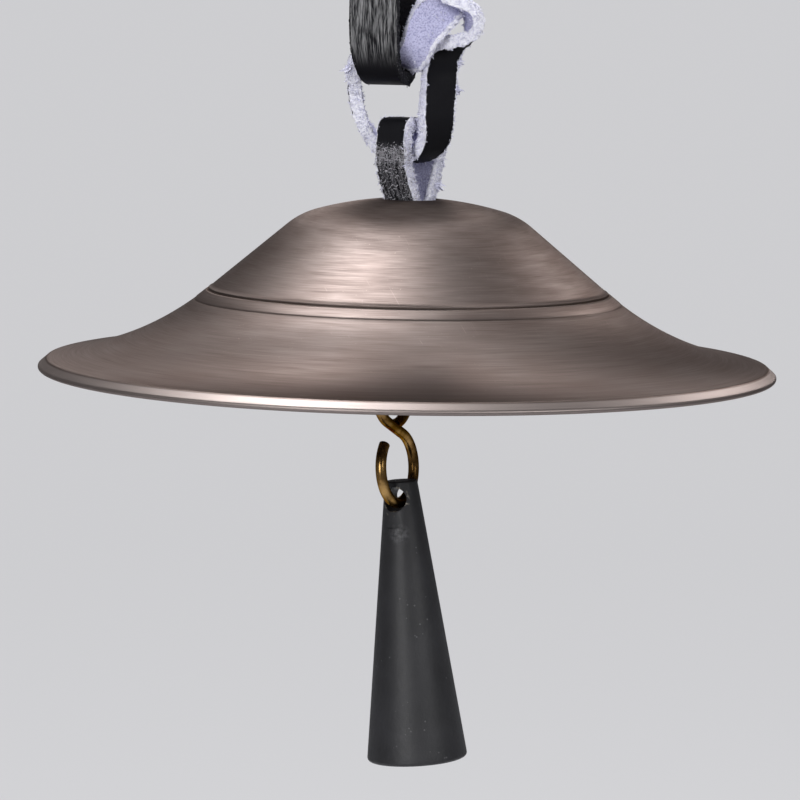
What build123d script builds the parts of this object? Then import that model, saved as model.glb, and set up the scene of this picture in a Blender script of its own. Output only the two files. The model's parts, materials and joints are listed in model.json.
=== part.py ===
"""A hat-shaped cymbal bell on leather links, with a clapper cone on a wire hook.

Millimetres, +Z up. The origin lies on the axis of the hanging eye, straight above the cymbal's own axis.
"""

import os
from math import asin, cos, degrees, hypot, radians, sin, sqrt, tan

from build123d import *

os.makedirs("parts", exist_ok=True)

# Leather laces
lace_thickness = 1.2
strap_width = 5.2
ring_width = 4.8
loop_width = 3.4
lace_gap = 0.1
strap_ease = 0.86
loop_ease = 0.3
ring_ease = 1.0

# Hanging strap: a closed loop with the hanging eye at its top and a bight at its bottom
strap_yaw = 15.0
strap_drop = 8.6
strap_offset = 2.96
strap_corner_radius = 1.2
strap_foot_drop = 4.2
strap_waist_cut = 0.95
strap_waist_height = 3.2

# Ring link, hung in the strap's bight
ring_yaw = 32.0
ring_sink = 0.4
ring_height = 10.9
ring_arc_step = 15.0
ring_arc_left = 30.0
ring_arc_right = 60.0

# Bell loop: over the ring's lowest point, through the cymbal, knotted under the dome
loop_rise = 4.22
loop_bend_radius = 1.2
leg_gap = 0.1
throat_gap = 2.1
throat_rise = 0.3
knot_entry = 0.2
knot_clearance = 0.25
knot_height = 4.4
knot_turns = 2
knot_corner_radius = 2.5
knot_edge_radius = 0.7
knot_groove = 0.35
leg_end = 0.8
tail_set = 3.17
tail_bend_drop = 4.0
tail_hole_drop = 15.4
tail_end = 2.0
tail_end_radius = 1.6
tail_hole_ease = 0.35

# Cymbal
cymbal_diameter = 75.0
shell = 1.2
dome_height = 17.0
crown_radius = 35.0
shoulder_radius = 8.0
side_angle = 39.8
rim_angle = 6.0
waist_diameter = 41.0
lip_width = 1.45
lip_angle = 38.0
lip_nose_radius = 0.3
flange_rise = 0.68
band_width = 1.25
band_height = 0.1
groove_width = 0.34
groove_depth = 0.24
hole_clearance = 0.28

# Wire hook
wire_diameter = 1.1
hook_radius = 3.6
hook_spacing = 8.0
hook_yaw = 27.0
hook_lean = 4.9
lower_tip_angle = 134.0
upper_tip_angle = 90.0

# Clapper cone
cone_length = 28.6
cone_top_diameter = 3.3
cone_base_diameter = 10.3
cone_hole_drop = 1.8
cone_slide = 0.6
cone_hole_ease = 0.7
cone_seat = 0.4
cone_base_round = 0.35
cone_top_round = 0.2
spot_radius = 2.25
spot_distance = 2.0

# Directions of each lace: across its loop and along its loop's plane
up = Vector(0, 0, 1)
strap_across = Vector(cos(radians(strap_yaw)), -sin(radians(strap_yaw)), 0)
strap_along = Vector(sin(radians(strap_yaw)), cos(radians(strap_yaw)), 0)
ring_across = Vector(cos(radians(ring_yaw)), -sin(radians(ring_yaw)), 0)
ring_along = Vector(sin(radians(ring_yaw)), cos(radians(ring_yaw)), 0)

# Bight radii follow the width of the lace that lies in them
strap_bight = ring_width / 2 + strap_ease
loop_bight = ring_width / 2 + loop_ease
ring_bight = loop_width / 2 + ring_ease
half_lace = lace_thickness / 2

# Heights, from the eye downwards
strap_axis_z = -strap_drop
ring_top_z = strap_axis_z - ring_sink
ring_bottom_z = ring_top_z - ring_height
ring_arc_z = ring_bottom_z + half_lace + ring_bight
ring_dip = sqrt((ring_bight - lace_gap) ** 2 - (loop_width / 2) ** 2)
loop_dip = sqrt(loop_bight ** 2 - (ring_width / 2) ** 2)
loop_axis_z = ring_arc_z - ring_dip - loop_dip
apex_z = loop_axis_z - loop_rise
rim_z = apex_z - dome_height

# Hanging strap
strap_plane = Plane(origin=strap_across * -strap_offset, x_dir=strap_along, z_dir=strap_across)
strap_reach = strap_bight + lace_thickness
strap_foot_z = strap_axis_z - strap_foot_drop
with BuildPart() as hanging_strap:
    with BuildSketch(strap_plane):
        for inset, mode in ((0, Mode.ADD), (lace_thickness, Mode.SUBTRACT)):
            half_width = strap_reach - inset
            foot_z = strap_foot_z + inset
            with BuildLine():
                ThreePointArc((half_width, 0), (0, half_width), (-half_width, 0))
                FilletPolyline(
                    (-half_width, 0),
                    (-half_width, foot_z),
                    (half_width, foot_z),
                    (half_width, 0),
                    radius=strap_corner_radius + lace_thickness - inset,
                )
            make_face(mode=mode)
    extrude(amount=strap_width / 2, both=True)
    strap_face = Plane(origin=strap_across * -strap_offset, x_dir=strap_across, z_dir=-strap_along)
    with BuildSketch(strap_face):
        with BuildLine():
            Polyline(
                (-strap_width / 2, strap_foot_z + strap_waist_height),
                (-strap_width / 2, strap_foot_z),
                (-strap_width / 2 + strap_waist_cut, strap_foot_z),
                close=True,
            )
        make_face()
    extrude(amount=strap_reach, both=True, mode=Mode.SUBTRACT)
hanging_strap.part.label = "hanging_strap"
export_step(hanging_strap.part, "parts/hanging_strap.step")

# Ring link: route chosen by hand as x, y, height over the strap's bight axis, yaw and dip of the lace
ring_upper_route = [
    (-2.85, 1.95, -9.80, 28.0, 0.0),
    (-4.35, 2.75, -7.70, 20.0, 0.0),
    (-5.15, 2.60, -5.60, 14.0, 0.0),
    (-5.65, 2.20, -4.00, 12.0, 0.0),
    (-5.95, 1.85, -2.60, 13.0, 0.0),
    (-5.60, 1.60, -1.65, 14.0, 2.0),
    (-4.60, 1.20, -1.25, 15.0, 1.0),
    (-3.20, 0.85, -1.05, 15.0, 2.0),
    (-1.70, 0.30, -0.85, 17.0, 8.0),
    (-0.32, -0.45, -0.70, 26.0, 31.0),
    (0.22, -0.90, 0.10, 36.0, 38.0),
    (1.00, -1.40, 1.40, 46.0, 34.0),
    (2.07, -1.75, 3.20, 50.0, 30.0),
    (3.30, -1.50, 4.70, 38.0, 20.0),
    (4.40, -0.80, 4.90, 10.0, 10.0),
    (5.60, -0.60, 4.30, -8.0, 3.0),
    (6.25, -0.60, 2.60, -12.0, 0.0),
    (5.95, -0.60, 0.80, -4.0, 0.0),
    (5.10, -0.65, 0.20, 14.0, 0.0),
    (4.40, -0.80, -0.30, 32.0, 0.0),
    (3.55, -0.85, -1.40, 42.0, 0.0),
    (2.70, -0.85, -3.40, 46.0, 0.0),
    (2.60, -0.95, -5.40, 46.0, 0.0),
    (2.50, -1.25, -7.40, 42.0, 0.0),
]
ring_radius = ring_bight + half_lace
ring_stations = []
arc_angle = ring_arc_right
while arc_angle > -ring_arc_left - ring_arc_step / 2:
    reach = ring_across * (ring_radius * sin(radians(arc_angle)))
    height = ring_arc_z - ring_radius * cos(radians(arc_angle))
    ring_stations.append((reach + up * height, ring_along))
    arc_angle -= ring_arc_step
for x, y, height, yaw, dip in ring_upper_route:
    level = cos(radians(dip))
    across = Vector(sin(radians(yaw)) * level, cos(radians(yaw)) * level, -sin(radians(dip)))
    ring_stations.append((Vector(x, y, strap_axis_z + height), across))
ring_planes = []
for index, (point, across) in enumerate(ring_stations):
    after = ring_stations[(index + 1) % len(ring_stations)][0]
    before = ring_stations[index - 1][0]
    way = (after - before).normalized()
    way = way - across * way.dot(across)
    ring_planes.append(Plane(origin=point, x_dir=across, z_dir=way))
ring_half = len(ring_planes) // 2
with BuildPart() as ring_link:
    for planes in (ring_planes[:ring_half + 1], ring_planes[ring_half:] + ring_planes[:1]):
        for plane in planes:
            with BuildSketch(plane):
                Rectangle(ring_width, lace_thickness)
        loft(ruled=True)
ring_link.part.label = "ring_link"
export_step(ring_link.part, "parts/ring_link.step")

# Knot height under the dome, from the crown's inner face
leg_offset = leg_gap / 2 + half_lace
knot_bore_across = loop_width + 2 * lace_gap
knot_bore_along = 2 * lace_thickness + leg_gap + 2 * lace_gap
knot_wall = knot_turns * lace_thickness
knot_across = knot_bore_across + 2 * knot_wall
knot_along = knot_bore_along + 2 * knot_wall
knot_corner = hypot(knot_across / 2 - knot_corner_radius, knot_along / 2 - knot_corner_radius)
knot_reach = knot_corner + knot_corner_radius
crown_inner = crown_radius - shell
crown_centre_z = apex_z - crown_radius
knot_top_z = crown_centre_z + sqrt(crown_inner ** 2 - knot_reach ** 2) - knot_clearance
knot_bottom_z = knot_top_z - knot_height

# Bell loop
loop_plane = Plane(origin=(0, 0, 0), x_dir=ring_along, z_dir=ring_across)
loop_radius = loop_bight + half_lace
leg_start_z = ring_bottom_z - half_lace + lace_gap
throat_offset = throat_gap / 2 + half_lace
throat_z = apex_z + throat_rise
entry_z = knot_top_z + knot_entry
tail_hole_z = apex_z - tail_hole_drop
tail_end_z = tail_hole_z - tail_end
tail_start_z = knot_bottom_z - leg_end
tail_bend_z = tail_start_z - tail_bend_drop
tail_hole_radius = wire_diameter / 2 + tail_hole_ease
with BuildPart() as bell_loop:
    with BuildSketch(loop_plane):
        with BuildLine():
            FilletPolyline(
                (-tail_set, tail_end_z),
                (-tail_set, tail_bend_z),
                (-leg_offset, tail_start_z),
                (-leg_offset, entry_z),
                (-throat_offset, throat_z),
                (-loop_radius, leg_start_z),
                (-loop_radius, loop_axis_z),
                radius=loop_bend_radius,
            )
            ThreePointArc(
                (-loop_radius, loop_axis_z), (0, loop_axis_z + loop_radius), (loop_radius, loop_axis_z)
            )
            FilletPolyline(
                (loop_radius, loop_axis_z),
                (loop_radius, leg_start_z),
                (throat_offset, throat_z),
                (leg_offset, entry_z),
                (leg_offset, knot_bottom_z - leg_end / 2),
                radius=loop_bend_radius,
            )
        trace(line_width=lace_thickness)
    extrude(amount=loop_width / 2, both=True)
    tail_corners = bell_loop.edges().filter_by(Axis((0, 0, 0), ring_along)).sort_by(Axis.Z)[:2]
    fillet(tail_corners, radius=tail_end_radius)
    with BuildSketch(Plane(origin=(0, 0, tail_hole_z), x_dir=ring_across, z_dir=ring_along)):
        Circle(tail_hole_radius)
    extrude(amount=tail_set + loop_width, both=True, mode=Mode.SUBTRACT)
bell_loop.part.label = "bell_loop"
export_step(bell_loop.part, "parts/bell_loop.step")

# Stop knot: the lace's other end wound round both legs
with BuildPart() as stop_knot:
    with BuildSketch(Plane(origin=(0, 0, knot_bottom_z), x_dir=ring_across, z_dir=up)):
        RectangleRounded(knot_across, knot_along, knot_corner_radius)
    extrude(amount=knot_height)
    rims = stop_knot.faces().sort_by(Axis.Z)[-1].edges() + stop_knot.faces().sort_by(Axis.Z)[0].edges()
    fillet(rims, radius=knot_edge_radius)
    groove_z = (knot_bottom_z + knot_top_z) / 2 - knot_groove / 2
    with BuildSketch(Plane(origin=(0, 0, groove_z), x_dir=ring_across, z_dir=up)):
        Rectangle(2 * knot_across, 2 * knot_across)
        RectangleRounded(
            knot_across - 2 * knot_groove,
            knot_along - 2 * knot_groove,
            knot_corner_radius - knot_groove,
            mode=Mode.SUBTRACT,
        )
    extrude(amount=knot_groove, mode=Mode.SUBTRACT)
    with BuildSketch(Plane(origin=(0, 0, knot_bottom_z), x_dir=ring_across, z_dir=up)):
        Rectangle(knot_bore_across, knot_bore_along)
    extrude(amount=knot_height, mode=Mode.SUBTRACT)
stop_knot.part.label = "stop_knot"
export_step(stop_knot.part, "parts/stop_knot.step")

# Cymbal profile: radius and height over the rim's middle plane; slopes are measured from level
rim_radius = cymbal_diameter / 2
waist_radius = waist_diameter / 2
flange_radius = rim_radius - lip_width
side_slope = radians(side_angle)
rim_slope = radians(rim_angle)
flare_radius = (flange_radius - waist_radius) / (sin(side_slope) - sin(rim_slope))
flare_centre = Vector(
    flange_radius + flare_radius * sin(rim_slope), flange_rise + flare_radius * cos(rim_slope)
)
side_out = Vector(sin(side_slope), cos(side_slope))
side_up = Vector(-cos(side_slope), sin(side_slope))
waist = flare_centre - side_out * flare_radius
crown_centre = Vector(0, dome_height - crown_radius)
to_waist = waist - side_out * shoulder_radius - crown_centre
middle = to_waist.dot(side_up)
spare = to_waist.dot(to_waist) - (crown_radius - shoulder_radius) ** 2
side_length = sqrt(middle ** 2 - spare) - middle
shoulder_centre = waist - side_out * shoulder_radius + side_up * side_length
crown_angle = degrees(asin((shoulder_centre - crown_centre).X / (crown_radius - shoulder_radius)))
shoulder_foot = shoulder_centre + side_out * shoulder_radius
hole_radius = hypot(loop_width / 2, throat_gap / 2 + lace_thickness) + hole_clearance
band_slope = side_slope - band_width / flare_radius
groove_half = groove_width / 2


# Lip: a cone outside the flange, rounded over its nose
lip_slope = radians(lip_angle)
nose_radius = rim_radius - lip_nose_radius
nose_tangent = nose_radius + lip_nose_radius * sin(lip_slope)
nose_tangent_z = flange_rise - (nose_tangent - flange_radius) * tan(lip_slope)
nose_z = nose_tangent_z - lip_nose_radius * cos(lip_slope)


def flare_point(slope, height):
    """A point at a height over the flare's outer face, where the face has the given slope."""
    return flare_centre - Vector(sin(slope), cos(slope)) * (flare_radius - height)


with BuildPart() as cymbal:
    with BuildSketch(Plane(origin=(0, 0, rim_z), x_dir=(1, 0, 0), z_dir=(0, -1, 0))):
        with BuildLine():
            CenterArc(crown_centre, crown_radius, 90, -crown_angle)
            CenterArc(shoulder_centre, shoulder_radius, 90 - crown_angle, crown_angle - side_angle)
            Line(shoulder_foot, waist)
            CenterArc(flare_centre, flare_radius, 270 - side_angle, side_angle - rim_angle)
            Line(flare_point(rim_slope, 0), (nose_tangent, nose_tangent_z))
            CenterArc((nose_radius, nose_z), lip_nose_radius, 90 - lip_angle, lip_angle - 180)
            Line((nose_radius, nose_z - lip_nose_radius), flare_point(rim_slope, -shell))
            CenterArc(flare_centre, flare_radius + shell, 270 - side_angle, side_angle - rim_angle)
            Line(shoulder_foot - side_out * shell, waist - side_out * shell)
            CenterArc(
                shoulder_centre, shoulder_radius - shell, 90 - crown_angle, crown_angle - side_angle
            )
            CenterArc(crown_centre, crown_inner, 90, -crown_angle)
            Line((0, dome_height), (0, dome_height - shell))
        make_face()
        with BuildLine():
            Polyline(
                flare_point(side_slope, -groove_depth),
                flare_point(side_slope, band_height),
                flare_point(band_slope, band_height),
                flare_point(band_slope, -groove_depth),
                close=True,
            )
        make_face()
        with BuildLine():
            Polyline(
                waist + side_up * groove_width + side_out * groove_depth,
                waist - side_out * groove_depth + side_up * groove_half,
                waist + side_out * groove_depth,
                close=True,
            )
        make_face(mode=Mode.SUBTRACT)
    revolve(axis=Axis.Z)
    with BuildSketch(Plane(origin=(0, 0, apex_z + shell), x_dir=(1, 0, 0), z_dir=up)):
        Circle(hole_radius)
    extrude(amount=-dome_height, mode=Mode.SUBTRACT)
cymbal.part.label = "cymbal"
export_step(cymbal.part, "parts/cymbal.step")

# Hook and cone hang in one leaning frame: along the hook's plane, upwards, and across it
hook_along = Vector(sin(radians(hook_yaw)), cos(radians(hook_yaw)), 0)
hook_side = Vector(cos(radians(hook_yaw)), -sin(radians(hook_yaw)), 0)
hang_up = up * cos(radians(hook_lean)) - hook_side * sin(radians(hook_lean))
hang_side = hook_side * cos(radians(hook_lean)) + up * sin(radians(hook_lean))
wire_radius = wire_diameter / 2
hook_top_z = tail_hole_z - (tail_hole_radius - wire_radius - lace_gap)
hook_top = ring_along * -tail_set + up * hook_top_z
lower_end = degrees(asin(2 * hook_radius / hook_spacing))


def lower_loop(angle):
    """A point on the wire's lower loop, in the hook's plane."""
    height = hook_radius * (sin(radians(angle)) - 1) - hook_spacing
    return (hook_radius * cos(radians(angle)), height)


def upper_loop(angle):
    """The same point turned half round the hook's middle, on the upper loop."""
    x, y = lower_loop(angle)
    return (-x, -y - 2 * hook_radius - hook_spacing)


hook_plane = Plane(origin=hook_top, x_dir=hook_along, z_dir=hang_side)
with BuildPart() as s_hook:
    with BuildLine(hook_plane) as hook_path:
        for loop_point, tip_angle in ((lower_loop, lower_tip_angle), (upper_loop, upper_tip_angle)):
            half_sweep = (360 + lower_end - tip_angle) / 2
            for start in (tip_angle, tip_angle + half_sweep):
                ThreePointArc(
                    loop_point(start), loop_point(start + half_sweep / 2), loop_point(start + half_sweep)
                )
        Line(lower_loop(lower_end), upper_loop(lower_end))
    with BuildSketch(Plane(origin=hook_path.line @ 0, z_dir=hook_path.line % 0)):
        Circle(wire_radius)
    sweep()
s_hook.part.label = "s_hook"
export_step(s_hook.part, "parts/s_hook.step")

# Clapper cone
hook_bottom = hook_top - hang_up * (2 * hook_radius + hook_spacing - cone_seat)
cone_hole = hook_bottom + hook_along * cone_slide
cone_top = cone_hole + hang_up * cone_hole_drop
cone_hole_radius = wire_radius + cone_hole_ease
with BuildPart() as cone:
    with BuildSketch(Plane(origin=cone_top, x_dir=hook_along, z_dir=hang_side)):
        with BuildLine():
            Polyline(
                (0, 0),
                (cone_top_diameter / 2, 0),
                (cone_base_diameter / 2, -cone_length),
                (0, -cone_length),
                close=True,
            )
        make_face()
    revolve(axis=Axis(cone_top, hang_up))
    fillet(cone.edges().sort_by(Axis.Z)[-1], radius=cone_top_round)
    fillet(cone.edges().sort_by(Axis.Z)[0], radius=cone_base_round)
    with BuildSketch(Plane(origin=cone_hole, x_dir=hang_side, z_dir=hook_along)):
        Circle(cone_hole_radius)
    extrude(amount=cone_base_diameter, both=True, mode=Mode.SUBTRACT)
    spot_plane = Plane(origin=cone_hole - hook_along * spot_distance, x_dir=hang_side, z_dir=-hook_along)
    with BuildSketch(spot_plane):
        Circle(spot_radius)
    extrude(amount=cone_base_diameter, mode=Mode.SUBTRACT)
cone.part.label = "cone"
export_step(cone.part, "parts/cone.step")
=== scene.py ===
"""Looks for a hat-shaped cymbal bell on leather laces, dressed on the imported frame.

Names that end in _MM hold millimetres. All other lengths are metres.
"""

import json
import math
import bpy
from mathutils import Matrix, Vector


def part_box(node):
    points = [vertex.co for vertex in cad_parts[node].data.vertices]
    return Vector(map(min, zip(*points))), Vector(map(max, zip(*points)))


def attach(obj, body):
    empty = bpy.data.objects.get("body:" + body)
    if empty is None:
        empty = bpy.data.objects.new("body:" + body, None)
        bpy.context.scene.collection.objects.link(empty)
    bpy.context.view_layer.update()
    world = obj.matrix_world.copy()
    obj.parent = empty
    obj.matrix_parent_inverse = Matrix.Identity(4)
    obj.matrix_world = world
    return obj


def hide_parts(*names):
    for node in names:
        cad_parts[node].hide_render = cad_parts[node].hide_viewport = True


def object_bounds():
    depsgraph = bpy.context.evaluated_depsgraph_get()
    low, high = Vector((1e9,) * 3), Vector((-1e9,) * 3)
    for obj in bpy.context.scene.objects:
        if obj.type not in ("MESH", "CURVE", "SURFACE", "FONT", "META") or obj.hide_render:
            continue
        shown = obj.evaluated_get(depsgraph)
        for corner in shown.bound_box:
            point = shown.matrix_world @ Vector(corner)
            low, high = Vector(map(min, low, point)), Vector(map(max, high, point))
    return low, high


bl_info = {
    "name": "Cymbal Bell",
    "version": (1, 0, 0),
    "blender": (4, 5, 0),
    "location": "View3D > Sidebar > Cymbal Bell",
    "description": "Dresses a cymbal bell on leather laces with its metal, leather and clapper finishes",
    "category": "Add Mesh",
}

import bmesh
import bpy
import numpy as np
from mathutils import Matrix, Vector, noise

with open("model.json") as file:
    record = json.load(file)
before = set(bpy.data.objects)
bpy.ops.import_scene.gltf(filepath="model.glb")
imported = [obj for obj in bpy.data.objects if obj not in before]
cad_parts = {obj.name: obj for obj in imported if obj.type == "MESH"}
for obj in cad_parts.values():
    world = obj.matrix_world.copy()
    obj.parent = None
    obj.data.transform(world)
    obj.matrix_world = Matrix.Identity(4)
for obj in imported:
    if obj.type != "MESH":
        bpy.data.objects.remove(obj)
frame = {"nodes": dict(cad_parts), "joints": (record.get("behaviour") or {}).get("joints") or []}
CAD_BOX = [list(corner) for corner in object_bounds()]
JOINTS = {joint["name"]: joint for joint in frame["joints"]}
MM = 0.001

CYMBAL_LOW, CYMBAL_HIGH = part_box("cymbal")
RIM_RADIUS = (CYMBAL_HIGH.x - CYMBAL_LOW.x) / 2
APEX_Z = JOINTS["cymbal_spin"]["pos_m"][2]
HOOK_TOP = Vector(JOINTS["hook_swing"]["pos_m"])
CONE_HOLE = Vector(JOINTS["cone_swing"]["pos_m"])
STRAP_ACROSS = Vector(JOINTS["ring_swing"]["axis"])
RING_ALONG = Vector(JOINTS["loop_swing"]["axis"])
HOOK_ALONG = Vector(JOINTS["hook_swing"]["axis"])
UP = Vector((0, 0, 1))


# Settings that a user would change


def length_setting(label, note, value):
    """A length in metres."""
    return bpy.props.FloatProperty(name=label, description=note, default=value, unit="LENGTH", precision=5)


def angle_setting(label, note, degrees):
    """An angle given in degrees."""
    angle = math.radians(degrees)
    return bpy.props.FloatProperty(name=label, description=note, default=angle, subtype="ANGLE")


def colour_setting(label, note, value):
    """A linear colour."""
    return bpy.props.FloatVectorProperty(name=label, description=note, default=value, subtype="COLOR", size=3)


def power_setting(label, note, watts):
    """A lamp's power."""
    return bpy.props.FloatProperty(name=label, description=note, default=watts, unit="POWER")


class CymbalSettings(bpy.types.PropertyGroup):
    """Sizes and finish of the bronze plate."""

    shell: length_setting("Shell", "Thickness of the bronze", 1.2 * MM)
    dome_height: length_setting("Dome height", "Apex over the rim's middle plane", 17.0 * MM)
    crown_radius: length_setting("Crown radius", "Curve of the flat crown", 35.0 * MM)
    shoulder_radius: length_setting("Shoulder radius", "Curve from crown to side", 8.0 * MM)
    side_angle: angle_setting("Side angle", "Slope of the dome's side", 39.8)
    rim_angle: angle_setting("Rim angle", "Slope of the flange at its rim", 7.0)
    waist_radius: length_setting("Waist radius", "Where the side meets the flare", 20.5 * MM)
    lip_width: length_setting("Lip width", "Sloped lip outside the flange", 0.85 * MM)
    lip_angle: angle_setting("Lip angle", "Slope of the lip", 40.5)
    flange_rise: length_setting("Flange rise", "Flange's edge over the rim's middle plane", 0.45 * MM)
    hole_radius: length_setting("Hole radius", "Hole for the lace", 3.10 * MM)
    segments: bpy.props.IntProperty(name="Segments", description="Steps round the plate", default=280, min=24)
    bronze: colour_setting("Bronze", "Bronze colour", (0.078, 0.062, 0.057))
    bronze_pale: colour_setting("Brushed bronze", "Colour along fresh brush lines", (0.128, 0.107, 0.100))


class LaceSettings(bpy.types.PropertyGroup):
    """Sizes and colours of the leather laces."""

    thickness: length_setting("Thickness", "Thickness of the leather", 1.2 * MM)
    ring_width: length_setting("Ring width", "Width of the ring link", 3.9 * MM)
    grain: colour_setting("Grain", "Dyed outer face", (0.006, 0.006, 0.0075))
    # Colour of the pale wrinkle crests: partly real wear, partly painted highlight where the wrinkles catch
    # the light.
    worn_and_sheen: colour_setting("Worn grain", "Rubbed crests of the outer face", (0.20, 0.195, 0.215))
    flesh: colour_setting("Flesh", "Suede inner face", (0.48, 0.48, 0.66))
    fleck: colour_setting("Flecks", "Dark flecks in the suede", (0.24, 0.24, 0.40))
    cut: colour_setting("Cut edge", "Raw fibres at the edges", (0.70, 0.70, 0.755))
    fuzz_dark: colour_setting("Dark fuzz", "Darkest fuzz of the rubbed loop", (0.045, 0.045, 0.050))
    fuzz_pale: colour_setting("Pale fuzz", "Palest fuzz of the rubbed loop", (0.50, 0.49, 0.53))
    # Colour of the strap's pale wrinkle crests: partly real wear, partly painted highlight.
    strap_worn_and_sheen: colour_setting("Worn strap", "Rubbed wrinkles of the hanging strap", (0.19, 0.19, 0.195))
    strap_dyed: colour_setting("Dyed strap", "Inner face and edges of the strap", (0.016, 0.016, 0.019))
    fibre_length: length_setting("Fibre length", "Loose fibres at the raw edges", 0.26 * MM)


class ConeSettings(bpy.types.PropertyGroup):
    """Sizes of the clapper cone."""

    length: length_setting("Length", "Length of the cone", 28.6 * MM)
    top_radius: length_setting("Top radius", "Radius of its top", 1.65 * MM)
    base_radius: length_setting("Base radius", "Radius of its foot", 5.15 * MM)
    top_round: length_setting("Top round", "Rounding of its top edge", 0.2 * MM)
    base_round: length_setting("Base round", "Rounding of its foot", 0.35 * MM)
    hole_drop: length_setting("Hole drop", "Hole below the top", 1.8 * MM)
    hole_radius: length_setting("Hole radius", "Cross hole for the hook", 1.25 * MM)
    slide: length_setting("Slide", "How far the cone sits along the hook", 0.6 * MM)
    spot_radius: length_setting("Spot radius", "Flat filed round the hole", 2.9 * MM)
    spot_distance: length_setting("Spot distance", "Flat's distance from the hole", 2.0 * MM)


class StageSettings(bpy.types.PropertyGroup):
    """Camera, lamps and background."""

    camera_distance: length_setting("Camera distance", "From the bell's axis", 0.335)
    camera_rise: length_setting("Camera rise", "Over the rim's plane", 0.036)
    camera_pitch: angle_setting("Camera pitch", "Below level", 6.76)
    camera_roll: angle_setting("Camera roll", "The bell hangs a little askew in view", 1.0)
    camera_yaw: angle_setting("Camera yaw", "Aim to the left of the axis", 0.113)
    lens: bpy.props.FloatProperty(name="Lens", description="Focal length in millimetres", default=148.5)
    background: colour_setting("Background", "Pale studio background", (0.68, 0.68, 0.70))
    backdrop_glow: bpy.props.FloatProperty(
        name="Backdrop glow", description="How far the backdrop shows its plain colour in view", default=0.85
    )
    ambient: bpy.props.FloatProperty(name="Ambient", description="Light from all round", default=0.42)
    key_power: power_setting("Key power", "Overhead softbox", 2.4)
    rear_power: power_setting("Rear power", "Rear softbox", 1.1)
    fill_power: power_setting("Fill power", "Front softbox", 2.2)
    back_power: power_setting("Back power", "Back softbox", 1.3)
    side_power: power_setting("Side power", "Side softbox", 1.2)
    floor_drop: length_setting("Floor drop", "Floor below the clapper's foot", 0.16)


class BellSettings(bpy.types.PropertyGroup):
    """All settings of the bell."""

    cymbal: bpy.props.PointerProperty(type=CymbalSettings)
    lace: bpy.props.PointerProperty(type=LaceSettings)
    cone: bpy.props.PointerProperty(type=ConeSettings)
    stage: bpy.props.PointerProperty(type=StageSettings)


def settings():
    return bpy.context.scene.cymbal_bell


# Routes of the laces, close to those of the solids

# Hanging strap: along its own plane, height, shift across and width, from the eye's top down to the bight
STRAP_HALF_MM = [
    (0.00, 3.86, 0.00, 5.2), (-1.60, 3.86, 0.00, 5.2), (-3.86, 1.60, 0.00, 5.2), (-3.86, -4.30, 0.00, 5.2),
    (-3.86, -7.80, 0.00, 5.2), (-3.60, -9.90, 0.15, 5.0), (-2.60, -11.50, 0.35, 4.5),
    (-1.00, -12.10, 0.45, 4.3),
]
STRAP_ROUTE_MM = STRAP_HALF_MM + [(-place, *rest) for place, *rest in reversed(STRAP_HALF_MM)]
STRAP_OFFSET_MM = 2.96

# Ring link: x, y, height, yaw and dip of the lace, from its lowest point up the left and down the right
RING_ROUTE_MM = [
    (0.00, 0.00, -19.90, 32, 0), (-1.25, 0.78, -19.90, 32, 0), (-3.70, 2.10, -18.50, 10, 0),
    (-5.15, 2.75, -16.50, -2, 0), (-5.75, 2.60, -14.20, -3, 0), (-5.90, 2.20, -12.60, -3, 0),
    (-5.90, 1.85, -11.20, 1, 0), (-5.60, 1.60, -10.25, 10, 1), (-4.60, 1.20, -9.85, 15, 1),
    (-3.20, 0.85, -9.70, 15, 2), (-1.70, 0.30, -9.65, 17, 12), (-0.40, -0.50, -9.85, 34, 40),
    (0.20, -1.15, -9.25, 58, 40), (0.80, -1.60, -7.50, 70, 38), (1.78, -1.77, -5.98, 70, 36),
    (2.87, -1.57, -4.75, 58, 28), (3.64, -1.02, -4.25, 34, 16), (4.55, -0.75, -4.40, 6, 6),
    (5.65, -0.60, -4.80, -10, 3), (6.25, -0.50, -6.00, -16, 0), (6.00, -0.30, -7.55, -6, 0),
    (5.00, 0.30, -8.10, 20, 0), (3.70, 1.20, -8.45, 48, 0), (3.00, 1.40, -9.70, 60, 0),
    (2.80, 0.60, -11.20, 62, 0), (2.74, -0.85, -12.60, 62, 0), (2.58, -1.75, -14.20, 59, 0),
    (2.46, -2.62, -16.20, 54, 0), (2.38, -1.78, -18.20, 46, 0), (1.10, -0.70, -19.90, 32, 0),
    (0.00, 0.00, -19.90, 32, 0),
]
CURL_WIDTHS_MM = {14: 4.5, 15: 4.9, 16: 4.6}

# Bell loop: along its own plane, height and width, from its short end over the ring and down to the tail
LOOP_ROUTE_MM = [
    (0.65, -30.60, 3.4), (0.65, -25.65, 3.4), (1.65, -23.72, 3.8), (3.30, -20.60, 3.6),
    (3.30, -18.00, 3.5), (1.37, -16.50, 3.5), (-1.37, -16.50, 3.5), (-2.90, -16.50, 3.6),
    (-3.30, -17.30, 3.7), (-3.30, -20.60, 3.8), (-1.65, -23.72, 3.9), (-0.65, -25.65, 3.4),
    (-0.65, -31.05, 3.4), (-3.17, -35.05, 3.4), (-3.17, -41.40, 3.4),
]
TAIL_HOLE_RISE = 0.25 * MM
TAIL_HOLE_RADIUS = 0.9 * MM
TAIL_HOLE_REACH = 2.0 * MM

# Tufts of torn fibre on the raw edges: place across the view and height
TUFTS_MM = [(4.75, -10.3), (4.75, -13.1), (3.05, -22.9), (-6.77, -12.1), (-6.5, -11.2), (3.6, -16.6)]
TUFT_REACH_MM = 0.6


# Meshes


def mesh_object(name, points, faces):
    """A new object at the origin from points in metres."""
    mesh = bpy.data.meshes.new(name)
    mesh.from_pydata([tuple(point) for point in points], [], faces)
    mesh.validate()
    mesh.shade_smooth()
    piece = bpy.data.objects.new(name, mesh)
    bpy.context.scene.collection.objects.link(piece)
    return piece


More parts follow.
